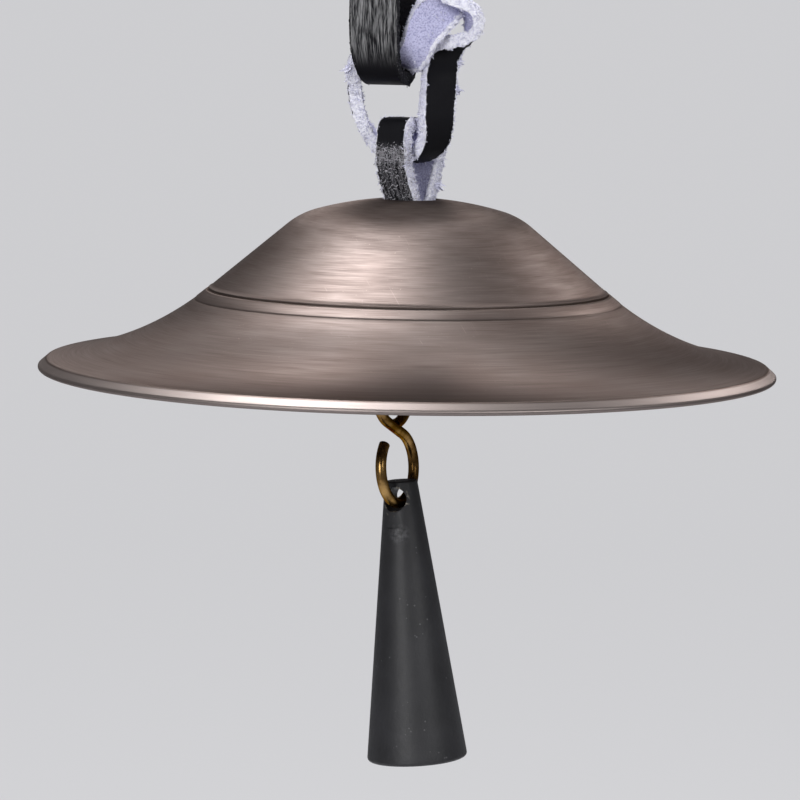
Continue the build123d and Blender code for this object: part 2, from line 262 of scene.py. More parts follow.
def grid_faces(rows, columns, closed=False, around=True):
    """Quads over points stored row by row. Closed joins the last row to the first, and around the columns."""
    faces = []
    for row in range(rows if closed else rows - 1):
        here = row * columns
        after = (row + 1) % rows * columns
        for column in range(columns if around else columns - 1):
            turn = (column + 1) % columns
            faces.append((here + column, here + turn, after + turn, after + column))
    return faces


def end_faces(rows, columns):
    """Faces that close the first and the last row."""
    return [tuple(reversed(range(columns))), tuple(range((rows - 1) * columns, rows * columns))]


def outward_normals(piece):
    """Turns a closed mesh's faces outwards."""
    work = bmesh.new()
    work.from_mesh(piece.data)
    bmesh.ops.recalc_face_normals(work, faces=work.faces)
    work.to_mesh(piece.data)
    work.free()


def set_attributes(piece, values):
    """Numbers or vectors for the points of a piece, for its material and fibres."""
    for name, column in values.items():
        column = np.asarray(column, np.float32)
        kind, field = ("FLOAT", "value") if column.ndim == 1 else ("FLOAT_VECTOR", "vector")
        piece.data.attributes.new(name, kind, "POINT").data.foreach_set(field, column.ravel())


def evaluated_mesh(piece, name):
    """The piece's mesh with its modifiers applied, as a plain mesh."""
    depsgraph = bpy.context.evaluated_depsgraph_get()
    mesh = bpy.data.meshes.new_from_object(piece.evaluated_get(depsgraph), depsgraph=depsgraph)
    mesh.name = name
    return mesh


def apply_modifiers(piece):
    """Replaces the piece's mesh by its evaluated one and clears the modifiers."""
    mesh = evaluated_mesh(piece, piece.name)
    piece.modifiers.clear()
    piece.data = mesh


PUNCH_STEPS = 64


def punch_hole(piece, centre, axis, radius, reach):
    """Cuts a round hole along an axis, as far as it reaches to both sides of its centre."""
    side = axis.cross(UP).normalized()
    rise = side.cross(axis).normalized()
    points = []
    for end in (-reach, reach):
        for step in range(PUNCH_STEPS):
            angle = math.tau * step / PUNCH_STEPS
            points.append(centre + axis * end + (side * math.cos(angle) + rise * math.sin(angle)) * radius)
    punch = mesh_object("punch", points, grid_faces(2, PUNCH_STEPS) + end_faces(2, PUNCH_STEPS))
    outward_normals(punch)
    cut = piece.modifiers.new("punch", "BOOLEAN")
    cut.operation = "DIFFERENCE"
    cut.solver = "EXACT"
    cut.object = punch
    apply_modifiers(piece)
    bpy.data.objects.remove(punch)


SPLINE_ORDER = 3


def spline_points(control, steps):
    """Points read from a NURBS spline whose control points are the route's points."""
    curve = bpy.data.curves.new("route", "CURVE")
    curve.dimensions = "3D"
    spline = curve.splines.new("NURBS")
    spline.points.add(len(control) - 1)
    for point, place in zip(spline.points, control):
        point.co = (*place, 1)
    spline.order_u = SPLINE_ORDER
    spline.use_endpoint_u = True
    spline.resolution_u = steps
    route = bpy.data.objects.new("route", curve)
    bpy.context.scene.collection.objects.link(route)
    mesh = evaluated_mesh(route, "route")
    points = [vertex.co.copy() for vertex in mesh.vertices]
    bpy.data.objects.remove(route)
    bpy.data.curves.remove(curve)
    bpy.data.meshes.remove(mesh)
    return points


# Laces


FACE_STEPS = 16
EDGE_STEPS = 6
EDGE_ROUND = 0.10
SKIVED = {0: 0.9, 1: 0.75, 2: 0.35}
SCUFFED = 0.6


def lace_section(width, thickness, scuff):
    """Outline of the lace: across, over, and how far each point lies on the grain face and the cut edge."""
    round_off = thickness * EDGE_ROUND
    flat = width / 2 - round_off
    half = thickness / 2
    shares = [step / (FACE_STEPS - 1) * 2 - 1 for step in range(FACE_STEPS)]
    scuffs = [scuff] + [0.0] * (FACE_STEPS - 2) + [scuff]
    turns = [math.pi / 2 - math.pi * step / EDGE_STEPS for step in range(1, EDGE_STEPS)]
    grain = [(share * flat, half, 1.0, scuffed) for share, scuffed in zip(shares, scuffs)]
    right = [(flat + round_off * math.cos(turn), half * math.sin(turn), 0.5, 1.0) for turn in turns]
    flesh = [(-share * flat, -half, 0.0, SKIVED.get(step, 0.0)) for step, share in enumerate(shares)]
    left = [(-across, -over, on_grain, on_cut) for across, over, on_grain, on_cut in right]
    return grain + right + flesh + left


def smooth_step(start, end, value):
    """0 before start, 1 after end and a smooth rise between."""
    share = min(1.0, max(0.0, (value - start) / (end - start)))
    return share * share * (3 - 2 * share)


STRAP_WEAR_MM = (-11.2, -7.8)
LOOP_WEAR_MM = (-17.8, -19.6)
LOOP_LOWER_MM = (-20.1, -20.8)
LOWER_WEAR_LOSS = 0.45
LOWER_FUZZ_LOSS = 0.80


def no_wear(spot):
    """Fresh grain all over: no rubbed wrinkles and no fuzz."""
    return 0.0, 0.0


def strap_wear(spot):
    """The strap's legs are wrinkled and show wear, with pale wrinkle crests that are partly painted
    highlight, and its bight is smooth.
    """
    return smooth_step(*STRAP_WEAR_MM, spot.z / MM), 0.0


def loop_wear(spot):
    """The bell loop's front leg shows wear and fuzz below the ring, with pale wrinkle crests that are partly
    painted highlight, and its bight is smooth.
    """
    if spot.dot(RING_ALONG) > 0:
        return 0.0, 0.0
    rubbed_and_sheen = smooth_step(*LOOP_WEAR_MM, spot.z / MM) ** 2
    lower = smooth_step(*LOOP_LOWER_MM, spot.z / MM)
    return rubbed_and_sheen * (1 - LOWER_WEAR_LOSS * lower), rubbed_and_sheen * (1 - LOWER_FUZZ_LOSS * lower)


def tuft_at(spot):
    """How far a point lies in one of the torn tufts."""
    share = 0.0
    for place, height in TUFTS_MM:
        away = math.hypot(spot.x / MM - place, spot.z / MM - height)
        share = max(share, 1 - smooth_step(0.0, TUFT_REACH_MM, away))
    return share


LACE_STEP = 0.13 * MM
LEAST_STEPS = 4
CREASE_LENGTH = 5.0 * MM
CREASE_PITCH = 0.50 * MM
FRAY_PITCH = 0.34 * MM
TEAR_PITCH = 1.3 * MM
CUT_INSET = 0.30 * MM
CUT_SPLAY = 0.26 * MM

# Layers of the noise for the grain, the two edges and their tears
GRAIN_LAYER = 5
EDGE_LAYER = 9
TEAR_LAYER = 4

# A cut edge's inset and splay: evenly, with its fray and with its tears
INSET_SHARES = (0.4, 0.5, 0.5)
SPLAY_SHARES = (0.35, -1.0, 0.6)


def raggedness(shares, fray, tear):
    even, with_fray, with_tear = shares
    return max(0.0, even + with_fray * fray + with_tear * tear)


def lace_piece(name, route, across, widths, closed=True, crease_depth=0.0, wear=no_wear, scuff=SCUFFED):
    """A lace of leather along a route, with wrinkled grain and ragged cut edges, and its path."""
    thickness = settings().lace.thickness
    run = sum((after - before).length for before, after in zip(route, route[1:]))
    steps = max(LEAST_STEPS, round(run / (len(route) - 1) / LACE_STEP))
    border = [point + side * (width / 2) for point, side, width in zip(route, across, widths)]
    path = spline_points(route, steps)
    edge = spline_points(border, steps)
    if closed:
        path.pop()
        edge.pop()
    count = len(path)
    points, grain, cut, lay, rubbed_and_sheen, fuzzy, tufts = [], [], [], [], [], [], []
    travelled = 0.0
    for index in range(count):
        if closed:
            way = path[(index + 1) % count] - path[index - 1]
        else:
            way = path[min(index + 1, count - 1)] - path[max(index - 1, 0)]
        side = edge[index] - path[index]
        outline = lace_section(2 * side.length, thickness, scuff)
        side.normalize()
        way = (way - side * way.dot(side)).normalized()
        over = way.cross(side)
        if index:
            travelled += (path[index] - path[index - 1]).length
        for place, height, on_grain, on_cut in outline:
            spot = path[index] + side * place + over * height
            worn_and_sheen, fuzz = wear(spot)
            wrinkle = Vector((travelled / CREASE_LENGTH, place / CREASE_PITCH, on_grain * GRAIN_LAYER))
            crease = max(0.0, noise.noise(wrinkle)) * crease_depth * on_grain * (1 - on_cut) * worn_and_sheen
            layer = math.copysign(EDGE_LAYER, place)
            fray = noise.noise(Vector((travelled / FRAY_PITCH, height / FRAY_PITCH, layer)))
            tear = noise.noise(Vector((travelled / TEAR_PITCH, height / TEAR_PITCH, layer + TEAR_LAYER)))
            inset = raggedness(INSET_SHARES, fray, tear) * CUT_INSET * on_cut
            splay = raggedness(SPLAY_SHARES, fray, tear) * CUT_SPLAY * on_cut
            frayed = over * math.copysign(splay, height) - side * math.copysign(inset, place)
            points.append(spot + frayed - over * crease)
            grain.append(on_grain)
            cut.append(on_cut)
            lay.append((place / MM, height / MM, travelled / MM))
            rubbed_and_sheen.append(worn_and_sheen)
            fuzzy.append(fuzz * on_grain)
            tufts.append(tuft_at(spot) * on_cut)
    size = len(outline)
    faces = grid_faces(count, size, closed)
    if not closed:
        faces += end_faces(count, size)
    piece = mesh_object(name, points, faces)
    set_attributes(piece, {"grain_side": grain, "cut_edge": cut, "lace_place": lay})
    set_attributes(piece, {"wear": rubbed_and_sheen, "fuzz": fuzzy, "tuft": tufts})
    outward_normals(piece)
    return piece, path


def yaw_direction(yaw, dip):
    """The direction across a lace, turned from +Y towards +X by yaw and tipped down at the back by dip."""
    level = math.cos(math.radians(dip))
    turn = math.radians(yaw)
    return Vector((math.sin(turn) * level, math.cos(turn) * level, -math.sin(math.radians(dip))))


def fit_piece(piece, body, slot, *nodes):
    """The piece rides on a body and stands for its solids, which it hides. The slot is not used."""
    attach(piece, body)
    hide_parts(*nodes)


# Nodes


def set_inputs(tree, node, values):
    """Input values of a node by name or number. Another node's socket is linked."""
    for key, value in values.items():
        if isinstance(value, bpy.types.NodeSocket):
            tree.links.new(value, node.inputs[key])
        else:
            node.inputs[key].default_value = value


def add_node(tree, kind, inputs=None, **options):
    """A node with its options and input values set."""
    node = tree.nodes.new(kind)
    for key, value in options.items():
        setattr(node, key, value)
    set_inputs(tree, node, inputs or {})
    return node


def add_math(tree, operation, first, second=0.0, third=0.0, clamp=False):
    """A Math node's result."""
    inputs = {0: first, 1: second, 2: third}
    return add_node(tree, "ShaderNodeMath", inputs, operation=operation, use_clamp=clamp).outputs[0]


def times(tree, first, second):
    """The product of two values."""
    return add_math(tree, "MULTIPLY", first, second)


def add_vector(tree, operation, first, second=(0.0, 0.0, 0.0), output="Vector"):
    """A Vector Math node's result."""
    node = add_node(tree, "ShaderNodeVectorMath", {0: first, 1: second}, operation=operation)
    return node.outputs[output]


def add_mix(tree, share, first, second, blend="MIX"):
    """A colour mix of two colours or sockets."""
    node = add_node(tree, "ShaderNodeMix", data_type="RGBA", blend_type=blend)
    set_inputs(tree, node, {0: share, 6: first, 7: second})
    return node.outputs[2]


def shaded(tree, colour, shade):
    """A colour or socket multiplied by a shade."""
    return add_mix(tree, 1.0, colour, shade, "MULTIPLY")


def add_ramp(tree, value, stops):
    """A grey ramp from (position, grey) stops."""
    node = add_node(tree, "ShaderNodeValToRGB", {0: value})
    for element, (place, grey) in zip(node.color_ramp.elements, stops):
        element.position = place
        element.color = (grey, grey, grey, 1)
    return node.outputs[0]


def add_range(tree, value, low=0.0, high=1.0, to_low=0.0, to_high=1.0):
    """A value mapped from one range to another, held at its ends."""
    inputs = {"Value": value, "From Min": low, "From Max": high, "To Min": to_low, "To Max": to_high}
    return add_node(tree, "ShaderNodeMapRange", inputs).outputs[0]


def add_noise(tree, vector, scale=1.0, detail=3.0, rough=0.55):
    """A noise value over a vector."""
    inputs = {"Vector": vector, "Scale": scale, "Detail": detail, "Roughness": rough}
    return add_node(tree, "ShaderNodeTexNoise", inputs).outputs[0]


def add_bump(tree, height, strength, distance):
    """The normal of a surface roughened by a height."""
    inputs = {"Strength": strength, "Distance": distance, "Height": height}
    return add_node(tree, "ShaderNodeBump", inputs).outputs[0]


def object_place(tree):
    """Object coordinates."""
    return add_node(tree, "ShaderNodeTexCoord").outputs["Object"]


def attribute(tree, name, output="Fac"):
    """A point attribute of the mesh."""
    return add_node(tree, "ShaderNodeAttribute", attribute_name=name).outputs[output]


def rgba(colour):
    return (*colour, 1.0)


FLOAT = "NodeSocketFloat"
VECTOR = "NodeSocketVector"
GEOMETRY = "NodeSocketGeometry"


def group_tree(kind, name, inputs, outputs):
    """A node group with named sockets of their kinds, and its input and output nodes."""
    tree = bpy.data.node_groups.new(name, kind)
    for way, sockets in (("INPUT", inputs), ("OUTPUT", outputs)):
        for label, socket in sockets.items():
            tree.interface.new_socket(label, in_out=way, socket_type=socket)
    return tree, tree.nodes.new("NodeGroupInput"), tree.nodes.new("NodeGroupOutput")


SPECK_PATCHES = {"scale": 350.0, "detail": 2.0}
SPECK_PATCH_LEVEL = 0.55


def specks_group():
    """Light dust specks at random places: a mask over Object coordinates."""
    name = "Dust specks"
    if name in bpy.data.node_groups:
        return bpy.data.node_groups[name]
    inputs = {"Vector": VECTOR, "Scale": FLOAT, "Size": FLOAT}
    tree, start, end = group_tree("ShaderNodeTree", name, inputs, {"Mask": FLOAT})
    cells = add_node(tree, "ShaderNodeTexVoronoi", {"Vector": start.outputs[0], "Scale": start.outputs[1]})
    patches = add_noise(tree, start.outputs[0], **SPECK_PATCHES)
    near = add_math(tree, "LESS_THAN", cells.outputs["Distance"], start.outputs[2])
    shown = add_math(tree, "GREATER_THAN", patches, SPECK_PATCH_LEVEL)
    tree.links.new(times(tree, near, shown), end.inputs[0])
    return tree


SCRATCH_STRETCH = (90.0, 5200.0, 5200.0)
SCRATCH_LINES = {"detail": 1.0, "rough": 0.4}
SCRATCH_FULL = 0.86
SCRATCH_PATCHES = {"scale": 160.0, "detail": 2.0}
SCRATCH_PATCH_RANGE = (0.48, 0.62)


def scratch_group():
    """Fine straight scratches in one direction: a mask over Object coordinates."""
    name = "Fine scratches"
    if name in bpy.data.node_groups:
        return bpy.data.node_groups[name]
    inputs = {"Vector": VECTOR, "Turn": VECTOR, "Level": FLOAT}
    tree, start, end = group_tree("ShaderNodeTree", name, inputs, {"Mask": FLOAT})
    turned = add_node(
        tree, "ShaderNodeVectorRotate", {"Vector": start.outputs[0], "Rotation": start.outputs[1]},
        rotation_type="EULER_XYZ",
    )
    stretched = add_vector(tree, "MULTIPLY", turned.outputs[0], SCRATCH_STRETCH)
    lines = add_noise(tree, stretched, **SCRATCH_LINES)
    patches = add_noise(tree, start.outputs[0], **SCRATCH_PATCHES)
    sharp = add_range(tree, lines, start.outputs[2], SCRATCH_FULL)
    shown = add_range(tree, patches, *SCRATCH_PATCH_RANGE)
    tree.links.new(times(tree, sharp, shown), end.inputs[0])
    return tree


def add_group(tree, group, inputs):
    """A node group's result."""
    return add_node(tree, "ShaderNodeGroup", inputs, node_tree=group).outputs[0]


def new_material(name):
    """A material with its Principled shader."""
    material = bpy.data.materials.new(name)
    material.use_nodes = True
    tree = material.node_tree
    return material, tree, tree.nodes["Principled BSDF"]


def dress(piece, material):
    """Gives a piece one material."""
    piece.data.materials.clear()
    piece.data.materials.append(material)


# Finishes


FINE_BRUSH = {"round_scale": 5.0, "run_scale": 9000.0, "detail": 2.0}
BROAD_BRUSH = {"round_scale": 3.0, "run_scale": 1400.0, "detail": 3.0}
FINE_SHARE = 0.55
BROAD_SHARE = 0.45
BRUSHED = (0.32, 0.68)
BRUSHED_ROUGH = (0.45, 0.39)
SCRATCHES = (
    {"Turn": (0.5, 0.7, 0.5), "Level": 0.70},
    {"Turn": (-0.4, -0.6, 1.1), "Level": 0.71},
)
SCRATCH_SHARE = 0.16
SCRATCH_DEPTH = 0.2
SCRATCH_BRONZE = (0.46, 0.40, 0.36, 1)
PATINA_NOISE = {"scale": 130.0, "detail": 4.0}
PATINA_STOPS = [(0.36, 0.0), (0.66, 1.0)]
PATINA_SHARE = 0.25
PATINA_SHADE = (0.80, 0.70, 0.66, 1)
GROOVE_SHARE = 0.85
GROOVE_ROUGH = 0.2
# Dark bronze for the recessed lines, and for the painted shade on the underside and at the lip line.
GROOVE_AND_SHADE_BRONZE = (0.028, 0.020, 0.016, 1)
HANDLED_WIDTH = 0.75 * MM
HANDLED_FULL = 0.9
HANDLED_BRONZE = (0.19, 0.163, 0.154, 1)
FROST_START = 8.0 * MM
FROST_END = 15.0 * MM
FROST_ROUGH = 0.28
BRONZE_EDGE = (0.42, 0.395, 0.385, 1)
BRUSH_GLOSS = 0.55
BRONZE_BUMP = {"strength": 0.10, "distance": 0.05 * MM}


def bronze_material():
    """Turned bronze, brushed round its axis, with dark recessed lines, painted shade on its underside and at
    the lip line, patina and fine scratches.
    """
    cymbal = settings().cymbal
    material, tree, shader = new_material("turned bronze")
    place = object_place(tree)
    split = add_node(tree, "ShaderNodeSeparateXYZ", {0: place})
    flat = add_node(tree, "ShaderNodeCombineXYZ", {"X": split.outputs[0], "Y": split.outputs[1]}).outputs[0]
    radius = add_vector(tree, "LENGTH", flat, output="Value")
    turn = add_node(tree, "ShaderNodeSeparateXYZ", {0: add_vector(tree, "NORMALIZE", flat)})
    run = attribute(tree, "profile_run")
    groove = attribute(tree, "groove")

    def ring_noise(round_scale, run_scale, detail):
        """Noise that is drawn out round the axis."""
        spot = {
            "X": times(tree, turn.outputs[0], round_scale),
            "Y": times(tree, turn.outputs[1], round_scale),
            "Z": times(tree, run, run_scale),
        }
        return add_noise(tree, add_node(tree, "ShaderNodeCombineXYZ", spot).outputs[0], detail=detail)

    fine = times(tree, ring_noise(**FINE_BRUSH), FINE_SHARE)
    broad = times(tree, ring_noise(**BROAD_BRUSH), BROAD_SHARE)
    brushed = add_math(tree, "ADD", fine, broad)
    masks = [add_group(tree, scratch_group(), {"Vector": place, **inputs}) for inputs in SCRATCHES]
    scratches = add_math(tree, "MAXIMUM", *masks)
    metal = add_mix(tree, add_range(tree, brushed, *BRUSHED), rgba(cymbal.bronze), rgba(cymbal.bronze_pale))
    cloud = add_ramp(tree, add_noise(tree, place, **PATINA_NOISE), PATINA_STOPS)
    patina = add_mix(tree, PATINA_SHARE, metal, shaded(tree, metal, PATINA_SHADE))
    metal = add_mix(tree, cloud, metal, patina)
    metal = add_mix(tree, times(tree, scratches, SCRATCH_SHARE), metal, SCRATCH_BRONZE)
    # Darkens the recessed lines, and paints shade on the underside and at the lip line.
    metal = add_mix(tree, add_math(tree, "MULTIPLY", groove, GROOVE_SHARE, clamp=True), metal, GROOVE_AND_SHADE_BRONZE)
    handled = add_range(tree, radius, RIM_RADIUS - HANDLED_WIDTH, RIM_RADIUS - HANDLED_FULL * HANDLED_WIDTH)
    metal = add_mix(tree, handled, metal, HANDLED_BRONZE)
    rough = add_range(tree, brushed, *BRUSHED, *BRUSHED_ROUGH)
    rough = add_math(tree, "ADD", rough, times(tree, groove, GROOVE_ROUGH))
    rough = add_math(tree, "ADD", rough, add_range(tree, radius, FROST_END, FROST_START, to_high=FROST_ROUGH))
    height = add_math(tree, "SUBTRACT", brushed, times(tree, scratches, SCRATCH_DEPTH))
    set_inputs(
        tree, shader,
        {
            "Base Color": metal,
            "Roughness": rough,
            "Metallic": 1.0,
            "Anisotropic": BRUSH_GLOSS,
            "Specular Tint": BRONZE_EDGE,
            "Tangent": add_node(tree, "ShaderNodeTangent", direction_type="RADIAL", axis="Z").outputs[0],
            "Normal": add_bump(tree, height, **BRONZE_BUMP),
        },
    )
    return material


FUZZ_NOISE = {"scale": 2600.0, "detail": 4.0, "rough": 0.7}
FLECK_NOISE = {"scale": 5600.0, "detail": 3.0, "rough": 0.7}
SHADE_NOISE = {"scale": 420.0, "detail": 3.0}
COARSE_WRINKLES = {"across": 4.6, "along": 0.34, "detail": 3.0}
FINE_WRINKLES = {"across": 11.0, "along": 0.80, "detail": 2.0}
WRINKLE_ROUGH = 0.6
WRINKLE_SHARE = 0.50
# Range of the wrinkles that get the pale crest colour: partly wear, partly painted highlight.
RUBBED_AND_SHEEN_WRINKLES = (0.44, 0.62)
FUZZ_MIDDLE = 0.5
RAGGED_CUT = 0.9
RAGGED_GRAIN = 0.4
CUT_BORDER = (0.30, 0.55)
GRAIN_BORDER = (0.55, 0.75)
FLECK_RANGE = (0.56, 0.34)
SHADE_RANGE = (0.40, 0.72)
SUEDE_SHADE_SHARE = 0.5
SUEDE_SHADE = (0.74, 0.74, 0.80, 1)
RAW_RANGE = (0.34, 0.50)
RAW_SHADE = (0.62, 0.62, 0.70, 1)
NAP_ROUGH = 0.95
GRAIN_ROUGH = 0.52
LEATHER_GLOSS = 0.06
FRESH_WRINKLES = 0.3
LEATHER_BUMP = {"strength": 0.6, "distance": 0.15 * MM}


def leather_material(name, worn_and_sheen, flesh, fleck, cut):
    """Lace leather: black grain with wrinkles whose pale crests are partly wear and partly painted highlight,
    flecked suede on the flesh side and raw cut edges.
    """
    if name in bpy.data.materials:
        return bpy.data.materials[name]
    material, tree, shader = new_material(name)
    place = object_place(tree)
    lay = attribute(tree, "lace_place", "Vector")
    wear = attribute(tree, "wear")
    fuzz = add_noise(tree, place, **FUZZ_NOISE)
    flecks = add_noise(tree, place, **FLECK_NOISE)
    broad = add_noise(tree, place, **SHADE_NOISE)

    def streaks(across, along, detail):
        """Noise that is drawn out along the lace."""
        stretched = add_vector(tree, "MULTIPLY", lay, (across, across, along))
        return times(tree, add_noise(tree, stretched, detail=detail, rough=WRINKLE_ROUGH), WRINKLE_SHARE)

    wrinkles = add_math(tree, "ADD", streaks(**COARSE_WRINKLES), streaks(**FINE_WRINKLES))
    ragged = times(tree, add_math(tree, "SUBTRACT", fuzz, FUZZ_MIDDLE), RAGGED_CUT)
    is_cut = add_range(tree, add_math(tree, "ADD", attribute(tree, "cut_edge"), ragged), *CUT_BORDER)
    grain_side = add_math(tree, "ADD", attribute(tree, "grain_side"), times(tree, ragged, RAGGED_GRAIN))
    is_grain = add_range(tree, grain_side, *GRAIN_BORDER)
    # Pale wrinkle crests: partly rubbed wear, partly painted highlight on the ridges.
    rubbed_and_sheen = times(tree, add_range(tree, wrinkles, *RUBBED_AND_SHEEN_WRINKLES), wear)
    black = add_mix(tree, rubbed_and_sheen, rgba(settings().lace.grain), rgba(worn_and_sheen))
    suede = add_mix(tree, add_range(tree, flecks, *FLECK_RANGE), rgba(flesh), rgba(fleck))
    shade = add_range(tree, broad, *SHADE_RANGE, to_high=SUEDE_SHADE_SHARE)
    suede = add_mix(tree, shade, suede, shaded(tree, suede, SUEDE_SHADE))
    raw = add_mix(tree, add_range(tree, fuzz, *RAW_RANGE), shaded(tree, rgba(cut), RAW_SHADE), rgba(cut))
    colour = add_mix(tree, is_cut, add_mix(tree, is_grain, suede, black), raw)
    smooth = add_math(tree, "SUBTRACT", is_grain, is_cut, clamp=True)
    skin = times(tree, times(tree, wrinkles, smooth), add_range(tree, wear, to_low=FRESH_WRINKLES))
    nap = times(tree, fuzz, add_math(tree, "SUBTRACT", 1.0, smooth))
    set_inputs(
        tree, shader,
        {
            "Base Color": colour,
            "Roughness": add_range(tree, smooth, to_low=NAP_ROUGH, to_high=GRAIN_ROUGH),
            "Specular IOR Level": LEATHER_GLOSS,
            "Normal": add_bump(tree, add_math(tree, "ADD", skin, nap), **LEATHER_BUMP),
        },
    )
    return material


def raw_leather():
    """Leather of the ring and the bell loop, pale wherever it is cut or skived."""
    lace = settings().lace
    return leather_material("raw lace leather", lace.worn_and_sheen, lace.flesh, lace.fleck, lace.cut)


def dyed_leather():
    """Leather of the hanging strap, dyed through."""
    lace = settings().lace
    dyed = lace.strap_dyed
    return leather_material("dyed lace leather", lace.strap_worn_and_sheen, dyed, lace.grain, dyed)


FIBRE_NOISE = {"scale": 1500.0, "detail": 2.0}
FIBRE_ROUGH = 0.9


def fibre_material(name, dark, pale):
    """Loose fibres from dark to pale."""
    if name in bpy.data.materials:
        return bpy.data.materials[name]
    material, tree, shader = new_material(name)
    tone = add_noise(tree, object_place(tree), **FIBRE_NOISE)
    colour = add_mix(tree, tone, rgba(dark), rgba(pale))
    set_inputs(tree, shader, {"Base Color": colour, "Roughness": FIBRE_ROUGH})
    return material


BRASS = (0.33, 0.205, 0.078, 1)
BRASS_TARNISH = (0.080, 0.043, 0.013, 1)
BRASS_EDGE = (0.42, 0.32, 0.20, 1)
TARNISH_NOISE = {"scale": 420.0, "detail": 4.0}
TARNISH_STOPS = [(0.34, 0.0), (0.60, 1.0)]
WIRE_NOISE = {"scale": 2600.0, "detail": 3.0}
BRASS_ROUGH = {"to_low": 0.18, "to_high": 0.32}
BRASS_BUMP = {"strength": 0.15, "distance": 0.02 * MM}


def brass_material():
    """Drawn brass wire with brown tarnish."""
    material, tree, shader = new_material("brass wire")
    place = object_place(tree)
    fine = add_noise(tree, place, **WIRE_NOISE)
    brown = add_ramp(tree, add_noise(tree, place, **TARNISH_NOISE), TARNISH_STOPS)
    set_inputs(
        tree, shader,
        {
            "Base Color": add_mix(tree, brown, BRASS, BRASS_TARNISH),
            "Metallic": 1.0,
            "Specular Tint": BRASS_EDGE,
            "Roughness": add_range(tree, fine, **BRASS_ROUGH),
            "Normal": add_bump(tree, fine, **BRASS_BUMP),
        },
    )
    return material


STAIN_DARK = (0.005, 0.005, 0.0065, 1)
STAIN_PALE = (0.011, 0.011, 0.0135, 1)
STAIN_NOISE = {"scale": 260.0, "detail": 4.0}
STAIN_STOPS = [(0.35, 0.0), (0.7, 1.0)]
WOOD_NOISE = {"scale": 2400.0, "detail": 4.0, "rough": 0.65}
DUST = (0.22, 0.22, 0.23, 1)
DUST_SHARE = 0.20
DUST_SPECKS = {"Scale": 1500.0, "Size": 0.13}
BARE_WOOD = (0.30, 0.27, 0.22, 1)
CHIP_NOISE = {"scale": 1300.0, "detail": 2.0}
CHIP_STOPS = [(0.55, 0.0), (0.60, 1.0)]
CHIP_DISTANCE = 2.0 * MM
CHIP_REACH = (1.75 * MM, 1.3 * MM)
# Pale patch below the ledge: partly scuffed wear, partly painted highlight where the ledge catches the light.
LEDGE_SCUFF_AND_HIGHLIGHT = (0.085, 0.085, 0.092, 1)
LEDGE_SCUFF_AND_HIGHLIGHT_RANGE = (0.40, 0.62)
LEDGE_DROP = 0.6 * MM
LEDGE_SIDE = 0.8 * MM
LEDGE_REACH = 1.3 * MM
LEDGE_FULL = 0.3
STAIN_ROUGH = {"to_low": 0.44, "to_high": 0.62}
STAIN_GLOSS = 0.42
STAIN_BUMP = {"strength": 0.35, "distance": 0.06 * MM}


def cone_material():
    """Matt black stain over wood, with dust specks, bare chips at the hole and a pale patch below the ledge
    under it, partly scuffs and partly painted highlight.
    """
    cone = settings().cone
    material, tree, shader = new_material("black clapper")
    place = object_place(tree)
    fine = add_noise(tree, place, **WOOD_NOISE)
    cloud = add_ramp(tree, add_noise(tree, place, **STAIN_NOISE), STAIN_STOPS)
    body = add_mix(tree, cloud, STAIN_DARK, STAIN_PALE)
    specks = add_group(tree, specks_group(), {"Vector": place, **DUST_SPECKS})
    body = add_mix(tree, times(tree, specks, DUST_SHARE), body, DUST)
    mouth = CONE_HOLE - HOOK_ALONG * CHIP_DISTANCE
    near_hole = add_range(tree, add_vector(tree, "DISTANCE", place, tuple(mouth), "Value"), *CHIP_REACH)
    chips = add_ramp(tree, add_noise(tree, place, **CHIP_NOISE), CHIP_STOPS)
    body = add_mix(tree, times(tree, near_hole, chips), body, BARE_WOOD)
    # Pale patch below the ledge: partly scuff, partly painted highlight.
    ledge = CONE_HOLE - HOOK_ALONG * cone.spot_distance - UP * (cone.spot_radius + LEDGE_DROP)
    ledge.x += LEDGE_SIDE
    away = add_vector(tree, "DISTANCE", place, tuple(ledge), "Value")
    near_ledge = add_range(tree, away, LEDGE_REACH, LEDGE_FULL * LEDGE_REACH)
    scuffed = times(tree, near_ledge, add_range(tree, fine, *LEDGE_SCUFF_AND_HIGHLIGHT_RANGE))
    set_inputs(
        tree, shader,
        {
            "Base Color": add_mix(tree, scuffed, body, LEDGE_SCUFF_AND_HIGHLIGHT),
            "Roughness": add_range(tree, fine, **STAIN_ROUGH),
            "Specular IOR Level": STAIN_GLOSS,
            "Normal": add_bump(tree, fine, **STAIN_BUMP),
        },
    )
    return material


# Loose fibres at the raw edges, scattered by Geometry Nodes


FIBRE_STEPS = 3
FIBRE_SIDES = 3
FIBRE_THICK = 0.19
FIBRE_TAPER = 0.5
FIBRE_BEND = 0.35


def fibre_mesh():
    """One curved fibre, a tapering three-sided tube one unit long."""
    name = "fibre"
    if name in bpy.data.objects:
        return bpy.data.objects[name]
    points = []
    for step in range(FIBRE_STEPS):
        share = step / FIBRE_STEPS
        thick = FIBRE_THICK * (1 - share * FIBRE_TAPER)
        for corner in range(FIBRE_SIDES):
            angle = corner * math.tau / FIBRE_SIDES
            bend = FIBRE_BEND * share * share
            points.append((thick * math.cos(angle) + bend, thick * math.sin(angle), share))
    tip = len(points)
    points.append((FIBRE_BEND, 0, 1))
    faces = grid_faces(FIBRE_STEPS, FIBRE_SIDES)
    last = tip - FIBRE_SIDES
    for corner in range(FIBRE_SIDES):
        faces.append((last + corner, last + (corner + 1) % FIBRE_SIDES, tip))
    faces.append(tuple(reversed(range(FIBRE_SIDES))))
    mesh = bpy.data.meshes.new(name)
    mesh.from_pydata(points, [], faces)
    return bpy.data.objects.new(name, mesh)


